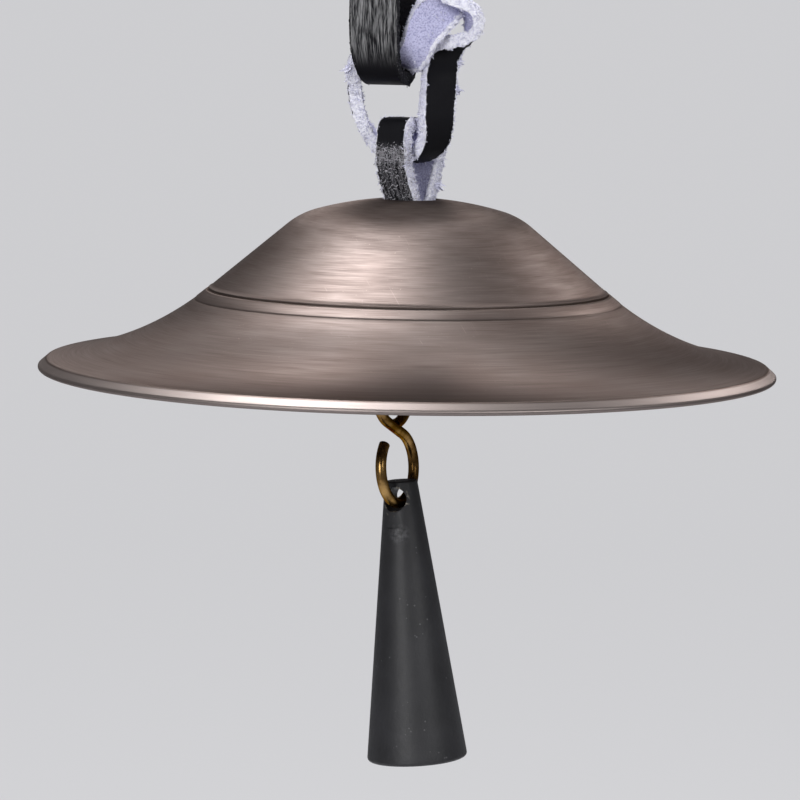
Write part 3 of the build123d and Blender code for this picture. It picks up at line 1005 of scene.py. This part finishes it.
# Fibres to a square metre where each mask is full
FIBRE_DENSITIES = {
    "Edge density": 4.5e7,
    "Flesh density": 3.0e6,
    "Fuzz density": 9.0e7,
    "Tuft density": 1.5e8,
}
FIBRE_MASKS = ("cut_edge", "grain_side", "fuzz", "tuft")
FLESH_LIMIT = 0.25
FIBRE_LEAN = Vector((1.1, 1.1, 3.14))
FIBRE_RARITY = 4.0
SHORT_FIBRE = 0.5
TUFT_GROWTH = 2.2


def fibre_tree():
    """Scatters fibres over a lace: thick on the cut edges, thin on the flesh face, none on the grain."""
    name = "Raw fibres"
    if name in bpy.data.node_groups:
        return bpy.data.node_groups[name]
    inputs = {"Geometry": GEOMETRY, **dict.fromkeys(FIBRE_DENSITIES, FLOAT), "Length": FLOAT}
    inputs.update({"Fibre": "NodeSocketObject", "Finish": "NodeSocketMaterial", "Seed": "NodeSocketInt"})
    tree, start, end = group_tree("GeometryNodeTree", name, inputs, {"Geometry": GEOMETRY})
    seed = start.outputs["Seed"]
    cut, grain, fuzz, tuft = (
        add_node(tree, "GeometryNodeInputNamedAttribute", {"Name": mask}, data_type="FLOAT").outputs[0]
        for mask in FIBRE_MASKS
    )
    on_flesh = add_math(tree, "LESS_THAN", grain, FLESH_LIMIT)
    density = 0.0
    for mask, label in zip((cut, on_flesh, fuzz, tuft), FIBRE_DENSITIES):
        density = add_math(tree, "ADD", density, times(tree, mask, start.outputs[label]))
    scatter = add_node(
        tree, "GeometryNodeDistributePointsOnFaces",
        {"Mesh": start.outputs["Geometry"], "Density": density, "Seed": seed},
    )
    lean = add_node(
        tree, "FunctionNodeRandomValue", {"Min": -FIBRE_LEAN, "Max": FIBRE_LEAN, "Seed": seed},
        data_type="FLOAT_VECTOR",
    ).outputs[0]
    turned = add_node(
        tree, "FunctionNodeRotateRotation",
        {"Rotation": scatter.outputs["Rotation"], "Rotate By": lean}, rotation_space="LOCAL",
    )
    chance = add_node(
        tree, "FunctionNodeRandomValue", {2: 0.0, 3: 1.0, "Seed": seed}, data_type="FLOAT"
    ).outputs[1]
    size = add_math(tree, "ADD", add_math(tree, "POWER", chance, FIBRE_RARITY), SHORT_FIBRE)
    size = times(tree, size, add_math(tree, "MULTIPLY_ADD", tuft, TUFT_GROWTH, 1.0))
    fibre = add_node(tree, "GeometryNodeObjectInfo", {"Object": start.outputs["Fibre"]})
    placed = add_node(
        tree, "GeometryNodeInstanceOnPoints",
        {
            "Points": scatter.outputs["Points"],
            "Instance": fibre.outputs["Geometry"],
            "Rotation": turned.outputs[0],
            "Scale": times(tree, size, start.outputs["Length"]),
        },
    )
    real = add_node(tree, "GeometryNodeRealizeInstances", {"Geometry": placed.outputs[0]})
    finished = add_node(
        tree, "GeometryNodeSetMaterial", {"Geometry": real.outputs[0], "Material": start.outputs["Finish"]}
    )
    tree.links.new(finished.outputs[0], end.inputs[0])
    return tree


def add_fibres(lace, name, body, seed, finish, shares):
    """Loose fibres on a lace as a piece of their own. Shares thins out each kind or leaves it out."""
    tree = fibre_tree()
    carrier = bpy.data.objects.new(name, lace.data.copy())
    bpy.context.scene.collection.objects.link(carrier)
    scatter = carrier.modifiers.new("fibres", "NODES")
    scatter.node_group = tree
    values = {label: density * shares.get(label, 0.0) for label, density in FIBRE_DENSITIES.items()}
    length = settings().lace.fibre_length
    values.update({"Length": length, "Fibre": fibre_mesh(), "Finish": finish, "Seed": seed})
    for item in tree.interface.items_tree:
        if item.name in values:
            scatter[item.identifier] = values[item.name]
    apply_modifiers(carrier)
    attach(carrier, body)
    return carrier


# Pieces


RAW_EDGES = {"Edge density": 1.0, "Flesh density": 1.0, "Tuft density": 1.0}
DYED_EDGES = {"Edge density": 0.25}
RUBBED_FACE = {"Fuzz density": 1.0}
STRAP_CREASE = 0.14 * MM
LOOP_CREASE = 0.05 * MM
STRAP_SEED, RING_SEED, LOOP_SEED, FUZZ_SEED = 11, 12, 13, 14


class BELL_OT_hanging_strap(bpy.types.Operator):
    """Build the hanging strap"""

    bl_idname = "cymbal_bell.hanging_strap"
    bl_label = "Hanging strap"

    def execute(self, context):
        lace = settings().lace
        along = UP.cross(STRAP_ACROSS)
        route, widths = [], []
        for place, height, shift, width in STRAP_ROUTE_MM:
            aside = STRAP_ACROSS * (shift - STRAP_OFFSET_MM)
            route.append((aside + along * place + UP * height) * MM)
            widths.append(width * MM)
        across = [STRAP_ACROSS] * len(route)
        piece, path = lace_piece(
            "hanging_strap_lace", route, across, widths, crease_depth=STRAP_CREASE, wear=strap_wear, scuff=0.0
        )
        dress(piece, dyed_leather())
        fit_piece(piece, "hanger", "lace", "hanging_strap")
        finish = fibre_material("dyed fibre", lace.strap_dyed, lace.strap_worn_and_sheen)
        fibres = add_fibres(piece, "hanging_strap_fibres", "hanger", STRAP_SEED, finish, DYED_EDGES)
        return {"FINISHED"}


class BELL_OT_ring_link(bpy.types.Operator):
    """Build the twisted ring link"""

    bl_idname = "cymbal_bell.ring_link"
    bl_label = "Ring link"

    def execute(self, context):
        lace = settings().lace
        route = [Vector((x, y, height)) * MM for x, y, height, yaw, dip in RING_ROUTE_MM]
        across = [yaw_direction(yaw, dip) for x, y, height, yaw, dip in RING_ROUTE_MM]
        widths = [lace.ring_width] * len(route)
        for index, width in CURL_WIDTHS_MM.items():
            widths[index] = width * MM
        piece, path = lace_piece("ring_link_lace", route, across, widths)
        dress(piece, raw_leather())
        fit_piece(piece, "ring", "lace", "ring_link")
        finish = fibre_material("raw fibre", lace.flesh, lace.cut)
        fibres = add_fibres(piece, "ring_link_fibres", "ring", RING_SEED, finish, RAW_EDGES)
        return {"FINISHED"}


class BELL_OT_bell_loop(bpy.types.Operator):
    """Build the bell loop with its punched tail"""

    bl_idname = "cymbal_bell.bell_loop"
    bl_label = "Bell loop"

    def execute(self, context):
        lace = settings().lace
        route = [(RING_ALONG * place + UP * height) * MM for place, height, width in LOOP_ROUTE_MM]
        widths = [width * MM for place, height, width in LOOP_ROUTE_MM]
        across = [RING_ALONG.cross(UP)] * len(route)
        piece, path = lace_piece(
            "bell_loop_lace", route, across, widths, closed=False, crease_depth=LOOP_CREASE, wear=loop_wear
        )
        punch_hole(piece, HOOK_TOP + UP * TAIL_HOLE_RISE, RING_ALONG, TAIL_HOLE_RADIUS, TAIL_HOLE_REACH)
        dress(piece, raw_leather())
        fit_piece(piece, "loop", "lace", "bell_loop")
        finish = fibre_material("raw fibre", lace.flesh, lace.cut)
        fibres = add_fibres(piece, "bell_loop_fibres", "loop", LOOP_SEED, finish, RAW_EDGES)
        finish = fibre_material("rubbed fibre", lace.fuzz_dark, lace.fuzz_pale)
        fuzz = add_fibres(piece, "bell_loop_fuzz", "loop", FUZZ_SEED, finish, RUBBED_FACE)
        return {"FINISHED"}


KNOT_TURNS = 2
KNOT_WALL = 2.4 * MM
KNOT_BORE_ACROSS = 1.8 * MM
KNOT_BORE_ALONG = 1.35 * MM
KNOT_STEPS = 72
KNOT_SECTION_STEPS = 16
KNOT_BULGE = 0.98
KNOT_RISE = 0.97
KNOT_CREASE = 0.09 * MM
KNOT_PITCH = Vector((0.35, 0.9, 7.0))
KNOT_EDGE = 0.95
# Wear of the knot's grain, which also sets how much painted highlight its wrinkle crests get.
KNOT_WEAR = 0.2
SOFT_SQUARE = 0.55
SOFT_NORMAL = 2.6


def squircle(value):
    """A sine or cosine pushed outwards, for a soft rectangle."""
    return math.copysign(abs(value) ** SOFT_SQUARE, value)


def soft_rectangle(angle, half_x, half_y):
    """A point of a soft rectangle at an angle, and its outward direction."""
    x = squircle(math.cos(angle))
    y = squircle(math.sin(angle))
    out_x = math.copysign(abs(x) ** SOFT_NORMAL, x) / half_x
    out_y = math.copysign(abs(y) ** SOFT_NORMAL, y) / half_y
    return half_x * x, half_y * y, out_x, out_y


class BELL_OT_stop_knot(bpy.types.Operator):
    """Build the stop knot under the dome"""

    bl_idname = "cymbal_bell.stop_knot"
    bl_label = "Stop knot"

    def execute(self, context):
        low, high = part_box("stop_knot")
        across = RING_ALONG.cross(UP)
        turn_height = (high.z - low.z) / KNOT_TURNS
        half_across = KNOT_BORE_ACROSS + KNOT_WALL / 2
        half_along = KNOT_BORE_ALONG + KNOT_WALL / 2
        points, faces, cut, lay = [], [], [], []
        for turn in range(KNOT_TURNS):
            middle = low.z + turn_height * (turn + 0.5)
            first = len(points)
            for face in grid_faces(KNOT_STEPS, KNOT_SECTION_STEPS, closed=True):
                faces.append(tuple(first + corner for corner in face))
            for step in range(KNOT_STEPS):
                angle = math.tau * step / KNOT_STEPS
                x, y, out_x, out_y = soft_rectangle(angle, half_across, half_along)
                centre = across * x + RING_ALONG * y + UP * middle
                outward = (across * out_x + RING_ALONG * out_y).normalized()
                for part in range(KNOT_SECTION_STEPS):
                    swing = math.tau * part / KNOT_SECTION_STEPS
                    bulge = KNOT_WALL / 2 * squircle(math.cos(swing))
                    rise = turn_height / 2 * squircle(math.sin(swing))
                    crease = max(0.0, noise.noise(Vector((step, part, turn)) * KNOT_PITCH)) * KNOT_CREASE
                    points.append(centre + outward * (bulge * KNOT_BULGE - crease) + UP * (rise * KNOT_RISE))
                    cut.append(1.0 if abs(math.sin(swing)) > KNOT_EDGE else 0.0)
                    lay.append((rise / MM, bulge / MM, angle * half_across / MM))
        piece = mesh_object("stop_knot_wrap", points, faces)
        grain, wear = [1.0] * len(points), [KNOT_WEAR] * len(points)
        set_attributes(piece, {"grain_side": grain, "cut_edge": cut, "lace_place": lay, "wear": wear})
        outward_normals(piece)
        dress(piece, raw_leather())
        fit_piece(piece, "loop", "lace", "stop_knot")
        return {"FINISHED"}


GROOVE_WIDTH = 0.24 * MM
GROOVE_DEPTH = 0.14 * MM
BAND_WIDTH = 1.50 * MM
BAND_HEIGHT = 0.05 * MM

# Upper groove: groove widths up the dome's side, height out of it and darkness
GROOVE_ROWS = [
    (1.9, 0.0, 0.0), (1.5, 0.06 * MM, 0.0), (1.12, 0.05 * MM, 0.15), (1.0, 0.0, 0.7),
    (0.5, -GROOVE_DEPTH, 1.0), (0.06, 0.0, 0.7),
]
# Band and lower groove: band widths down the flare, height out of it and darkness
BAND_ROWS = [
    (0.0, 0.75 * BAND_HEIGHT, 0.15), (0.12, BAND_HEIGHT, 0.0), (0.5, 1.1 * BAND_HEIGHT, 0.0),
    (0.88, 0.9 * BAND_HEIGHT, 0.0), (1.0, 0.3 * BAND_HEIGHT, 0.15), (1.03, -0.01 * MM, 0.35),
    (1.08, 0.0, 0.1),
]
# Stretches that these rows take up, in groove and band widths
GROOVE_STRETCH = 2.2
BAND_STRETCH = 1.25

NOSE_RADIUS = 0.30 * MM
NOSE_STEPS = 12
CROWN_STEPS = 40
SHOULDER_STEPS = 20
SIDE_STEPS = 24
FLARE_STEPS = 80
LIP_SHARES = (0.03, 0.08, 0.3, 0.6, 0.9)
# Darkness of the flange's last ring, where it bends into the lip: painted shade.
LIP_PAINTED_SHADE_LINE = 0.6
# Darkness of the whole underside: painted shade under the plate.
UNDERSIDE_PAINTED_SHADE = 0.3
ANGLE_SLACK = 1e-9
LENGTH_SLACK = 1e-6


def cymbal_profile(cymbal):
    """The plate's outline as radius, height over the rim plane and darkness, outer face first. The darkness
    marks the recessed lines and paints shade on the underside and at the lip line.
    """
    side, rim = cymbal.side_angle, cymbal.rim_angle
    flange_radius = RIM_RADIUS - cymbal.lip_width
    flare_radius = (flange_radius - cymbal.waist_radius) / (math.sin(side) - math.sin(rim))
    flare_x = flange_radius + flare_radius * math.sin(rim)
    flare_z = cymbal.flange_rise + flare_radius * math.cos(rim)
    out = Vector((math.sin(side), math.cos(side)))
    rise = Vector((-math.cos(side), math.sin(side)))
    waist = Vector((flare_x, flare_z)) - out * flare_radius
    crown_z = cymbal.dome_height - cymbal.crown_radius
    inner = cymbal.crown_radius - cymbal.shoulder_radius
    reach = waist - out * cymbal.shoulder_radius - Vector((0, crown_z))
    middle = reach.dot(rise)
    length = math.sqrt(middle * middle - reach.dot(reach) + inner * inner) - middle
    shoulder = waist - out * cymbal.shoulder_radius + rise * length
    crown_angle = math.asin(shoulder.x / inner)
    hole_angle = math.asin(cymbal.hole_radius / cymbal.crown_radius)
    band_angle = BAND_WIDTH / flare_radius

    def flare(slope, height):
        """A point of the flare at a slope, a height out of its outer face."""
        radius = flare_radius - height
        return flare_x - radius * math.sin(slope), flare_z - radius * math.cos(slope)

    def face(inset):
        """One face of the plate from hole to rim, without the lip: points and slopes."""
        row = []
        radius = cymbal.crown_radius - inset
        for step in range(CROWN_STEPS + 1):
            slope = hole_angle + (crown_angle - hole_angle) * step / CROWN_STEPS
            row.append((radius * math.sin(slope), crown_z + radius * math.cos(slope), slope))
        radius = cymbal.shoulder_radius - inset
        for step in range(1, SHOULDER_STEPS + 1):
            slope = crown_angle + (side - crown_angle) * step / SHOULDER_STEPS
            row.append((shoulder.x + radius * math.sin(slope), shoulder.y + radius * math.cos(slope), slope))
        start = shoulder + out * radius
        finish = waist - out * inset
        for step in range(1, SIDE_STEPS):
            row.append((*start.lerp(finish, step / SIDE_STEPS), side))
        for step in range(FLARE_STEPS + 1):
            slope = side + (rim - side) * step / FLARE_STEPS
            row.append((*flare(slope, -inset), slope))
        return row

    outer = []
    for x, z, slope in face(0.0):
        run = (Vector((x, z)) - waist).dot(rise)
        on_side = slope >= side - ANGLE_SLACK and x > shoulder.x
        on_flare = x > waist.x - LENGTH_SLACK
        in_groove = on_side and run < GROOVE_WIDTH * GROOVE_STRETCH
        in_band = on_flare and side - slope < band_angle * BAND_STRETCH
        if not in_groove and not in_band:
            outer.append((x, z, 0.0))
    split = next(index for index, point in enumerate(outer) if point[0] > waist.x)
    detail = []
    for up, height, dark in GROOVE_ROWS:
        detail.append((*(waist + rise * (GROOVE_WIDTH * up) + out * height), dark))
    for down, height, dark in BAND_ROWS:
        detail.append((*flare(side - band_angle * down, height), dark))
    outer = outer[:split] + detail + outer[split:]
    # Painted shade: a dark line where the flange meets the lip.
    outer[-1] = (*outer[-1][:2], LIP_PAINTED_SHADE_LINE)
    nose_x = RIM_RADIUS - NOSE_RADIUS
    lip_end = nose_x + NOSE_RADIUS * math.sin(cymbal.lip_angle)
    lip_run = lip_end - flange_radius
    lip_drop = lip_run * math.tan(cymbal.lip_angle)
    nose_z = cymbal.flange_rise - lip_drop - NOSE_RADIUS * math.cos(cymbal.lip_angle)
    lip = []
    for share in LIP_SHARES:
        lip.append((flange_radius + lip_run * share, cymbal.flange_rise - lip_drop * share, 0.0))
    for step in range(NOSE_STEPS + 1):
        angle = math.pi / 2 - cymbal.lip_angle - (math.pi - cymbal.lip_angle) * step / NOSE_STEPS
        lip.append((nose_x + NOSE_RADIUS * math.cos(angle), nose_z + NOSE_RADIUS * math.sin(angle), 0.0))
    # The underside gets painted shade.
    lower = [(x, z, UNDERSIDE_PAINTED_SHADE) for x, z, slope in reversed(face(cymbal.shell))]
    return outer + lip + lower


class BELL_OT_cymbal(bpy.types.Operator):
    """Build the bronze plate"""

    bl_idname = "cymbal_bell.cymbal"
    bl_label = "Cymbal"

    def execute(self, context):
        cymbal = settings().cymbal
        profile = cymbal_profile(cymbal)
        rim_z = APEX_Z - cymbal.dome_height
        run = [0.0]
        for before, after in zip(profile, profile[1:]):
            run.append(run[-1] + math.dist(after[:2], before[:2]))
        points = []
        for segment in range(cymbal.segments):
            angle = math.tau * segment / cymbal.segments
            for radius, height, groove in profile:
                points.append((radius * math.cos(angle), radius * math.sin(angle), rim_z + height))
        piece = mesh_object("cymbal_plate", points, grid_faces(cymbal.segments, len(profile), closed=True))
        shade_and_groove_darkness = [groove for radius, height, groove in profile]
        set_attributes(piece, {"profile_run": run * cymbal.segments, "groove": shade_and_groove_darkness * cymbal.segments})
        outward_normals(piece)
        dress(piece, bronze_material())
        fit_piece(piece, "cymbal", "bronze", "cymbal")
        return {"FINISHED"}


class BELL_OT_hook(bpy.types.Operator):
    """Finish the brass hook"""

    bl_idname = "cymbal_bell.hook"
    bl_label = "Wire hook"

    def execute(self, context):
        dress(frame["nodes"]["s_hook"], brass_material())
        return {"FINISHED"}


CONE_SEGMENTS = 128
CONE_ROWS = 48
ROUND_STEPS = 6
CONE_CREASE = math.radians(30)


def cone_profile(cone):
    """The cone's outline from its top to its foot, as radius and drop, with both corners rounded."""
    lean = math.atan2(cone.base_radius - cone.top_radius, cone.length)
    profile = []
    reach = cone.top_round * math.tan((math.pi / 2 - lean) / 2)
    for step in range(ROUND_STEPS):
        angle = (math.pi / 2 - lean) * step / ROUND_STEPS
        radius = cone.top_radius - reach + cone.top_round * math.sin(angle)
        profile.append((radius, cone.top_round * (1 - math.cos(angle))))
    upper = cone.top_round * (1 - math.sin(lean))
    lower = cone.length - cone.base_round * (1 + math.sin(lean))
    for row in range(CONE_ROWS + 1):
        drop = upper + (lower - upper) * row / CONE_ROWS
        profile.append((cone.top_radius + drop * math.tan(lean), drop))
    inset = cone.base_radius - cone.base_round * math.tan((math.pi / 2 + lean) / 2)
    for step in range(1, ROUND_STEPS + 1):
        angle = -lean + (math.pi / 2 + lean) * step / ROUND_STEPS
        radius = inset + cone.base_round * math.cos(angle)
        profile.append((radius, cone.length - cone.base_round * (1 - math.sin(angle))))
    return profile


class BELL_OT_cone(bpy.types.Operator):
    """Build the clapper cone"""

    bl_idname = "cymbal_bell.cone"
    bl_label = "Clapper cone"

    def execute(self, context):
        cone = settings().cone
        hang_up = (HOOK_TOP - CONE_HOLE + HOOK_ALONG * cone.slide).normalized()
        hang_side = HOOK_ALONG.cross(hang_up)
        top = CONE_HOLE + hang_up * cone.hole_drop
        profile = cone_profile(cone)
        points = []
        for radius, drop in profile:
            for step in range(CONE_SEGMENTS):
                angle = math.tau * step / CONE_SEGMENTS
                reach = HOOK_ALONG * math.cos(angle) + hang_side * math.sin(angle)
                points.append(top - hang_up * drop + reach * radius)
        rows = len(profile)
        faces = grid_faces(rows, CONE_SEGMENTS) + end_faces(rows, CONE_SEGMENTS)
        piece = mesh_object("clapper_cone", points, faces)
        outward_normals(piece)
        reach = cone.base_radius
        spot = CONE_HOLE - HOOK_ALONG * (cone.spot_distance + reach)
        punch_hole(piece, CONE_HOLE, HOOK_ALONG, cone.hole_radius, reach)
        punch_hole(piece, spot, HOOK_ALONG, cone.spot_radius, reach)
        piece.data.set_sharp_from_angle(angle=CONE_CREASE)
        dress(piece, cone_material())
        fit_piece(piece, "clapper", "clapper", "cone")
        return {"FINISHED"}


# Stage


# Softboxes: name, setting of its power, place from the rim's middle, and width and length
SOFTBOXES = (
    ("overhead softbox", "key_power", (-0.135, 0.05, 0.48), (0.15, 0.20)),
    ("rear softbox", "rear_power", (-0.025, 0.29, 0.41), (0.14, 0.20)),
    ("front softbox", "fill_power", (-0.22, -0.45, 0.16), (0.16, 0.46)),
    ("back softbox", "back_power", (0.36, 0.36, 0.35), (0.16, 0.16)),
    ("side softbox", "side_power", (0.32, -0.40, 0.20), (0.24, 0.24)),
)
BACKDROP_REACH = 2.4
BACKDROP_DEPTH = 1.1
BACKDROP_BEND = 0.7
BACKDROP_RISE = 2.6
BEND_STEPS = 24
BACKDROP_ROUGH = 0.9
BACKDROP_GLOSS = 0.1
SENSOR_WIDTH_MM = 36.0
NEAREST_VIEW = 0.01


def add_softbox(name, place, target, size, power):
    """A softbox of a width and a length aimed at a point."""
    lamp = bpy.data.lights.new(name, "AREA")
    lamp.shape = "RECTANGLE"
    lamp.size, lamp.size_y = size
    lamp.energy = power
    light = bpy.data.objects.new(name, lamp)
    light.location = place
    light.rotation_euler = (target - place).to_track_quat("-Z", "Y").to_euler()
    bpy.context.scene.collection.objects.link(light)


def seen_rays(tree):
    """1 for rays that show the background itself, and 0 for its light and its mirror image."""
    return add_node(tree, "ShaderNodeLightPath").outputs["Is Camera Ray"]


def add_backdrop(stage):
    """A pale floor that bends up into a backdrop and shows its own pale colour and the bell's shadow."""
    floor_z = CAD_BOX[0][2] - stage.floor_drop
    rows = [(-BACKDROP_REACH, floor_z)]
    for step in range(BEND_STEPS + 1):
        angle = math.pi / 2 * step / BEND_STEPS
        depth = BACKDROP_DEPTH + BACKDROP_BEND * math.sin(angle)
        rows.append((depth, floor_z + BACKDROP_BEND * (1 - math.cos(angle))))
    rows.append((BACKDROP_DEPTH + BACKDROP_BEND, floor_z + BACKDROP_RISE))
    points = []
    for depth, height in rows:
        points += [(-BACKDROP_REACH, depth, height), (BACKDROP_REACH, depth, height)]
    floor = mesh_object("floor", points, grid_faces(len(rows), 2, around=False))
    material, tree, shader = new_material("pale backdrop")
    colour = rgba(stage.background)
    set_inputs(
        tree, shader,
        {"Base Color": colour, "Roughness": BACKDROP_ROUGH, "Specular IOR Level": BACKDROP_GLOSS},
    )
    glow = add_node(tree, "ShaderNodeEmission", {"Color": colour})
    share = add_range(tree, seen_rays(tree), to_high=stage.backdrop_glow)
    both = add_node(tree, "ShaderNodeMixShader", {0: share, 1: shader.outputs[0], 2: glow.outputs[0]})
    tree.links.new(both.outputs[0], tree.nodes["Material Output"].inputs["Surface"])
    dress(floor, material)


class BELL_OT_stage(bpy.types.Operator):
    """Build the floor, background, lamps and camera"""

    bl_idname = "cymbal_bell.stage"
    bl_label = "Stage"

    def execute(self, context):
        stage = settings().stage
        scene = context.scene
        scene.view_settings.view_transform = "Standard"
        rim_z = APEX_Z - settings().cymbal.dome_height
        add_backdrop(stage)

        world = bpy.data.worlds.new("studio")
        scene.world = world
        world.use_nodes = True
        tree = world.node_tree
        light = add_range(tree, seen_rays(tree), to_low=stage.ambient)
        set_inputs(tree, tree.nodes["Background"], {"Color": rgba(stage.background), "Strength": light})

        middle = Vector((0, 0, rim_z))
        for name, power, place, size in SOFTBOXES:
            add_softbox(name, middle + Vector(place), middle, size, getattr(stage, power))

        lens = bpy.data.cameras.new("camera")
        lens.sensor_width = SENSOR_WIDTH_MM
        lens.lens = stage.lens
        lens.clip_start = NEAREST_VIEW
        camera = bpy.data.objects.new("camera", lens)
        turn = Matrix.Rotation(stage.camera_yaw, 4, "Z")
        turn = turn @ Matrix.Rotation(math.pi / 2 - stage.camera_pitch, 4, "X")
        turn = turn @ Matrix.Rotation(stage.camera_roll, 4, "Z")
        place = Matrix.Translation((0, -stage.camera_distance, rim_z + stage.camera_rise))
        camera.matrix_world = place @ turn
        scene.collection.objects.link(camera)
        scene.camera = camera
        return {"FINISHED"}


OPERATORS = (
    BELL_OT_stage,
    BELL_OT_hanging_strap,
    BELL_OT_ring_link,
    BELL_OT_bell_loop,
    BELL_OT_stop_knot,
    BELL_OT_cymbal,
    BELL_OT_hook,
    BELL_OT_cone,
)


class BELL_PT_panel(bpy.types.Panel):
    """Pieces and settings of the bell"""

    bl_idname = "BELL_PT_panel"
    bl_label = "Cymbal Bell"
    bl_space_type = "VIEW_3D"
    bl_region_type = "UI"
    bl_category = "Cymbal Bell"

    def draw(self, context):
        layout = self.layout
        for operator in OPERATORS:
            layout.operator(operator.bl_idname)
        for group in (settings().cymbal, settings().lace, settings().cone, settings().stage):
            box = layout.box()
            for name in group.__annotations__:
                box.prop(group, name)


CLASSES = (
    CymbalSettings, LaceSettings, ConeSettings, StageSettings, BellSettings, *OPERATORS, BELL_PT_panel,
)


def register():
    for entry in CLASSES:
        bpy.utils.register_class(entry)
    bpy.types.Scene.cymbal_bell = bpy.props.PointerProperty(type=BellSettings)


def unregister():
    del bpy.types.Scene.cymbal_bell
    for entry in reversed(CLASSES):
        bpy.utils.unregister_class(entry)


def main():
    register()
    bpy.ops.cymbal_bell.stage()
    bpy.ops.cymbal_bell.hanging_strap()
    bpy.ops.cymbal_bell.ring_link()
    bpy.ops.cymbal_bell.bell_loop()
    bpy.ops.cymbal_bell.stop_knot()
    bpy.ops.cymbal_bell.cymbal()
    bpy.ops.cymbal_bell.hook()
    bpy.ops.cymbal_bell.cone()


if __name__ == "__main__":
    main()
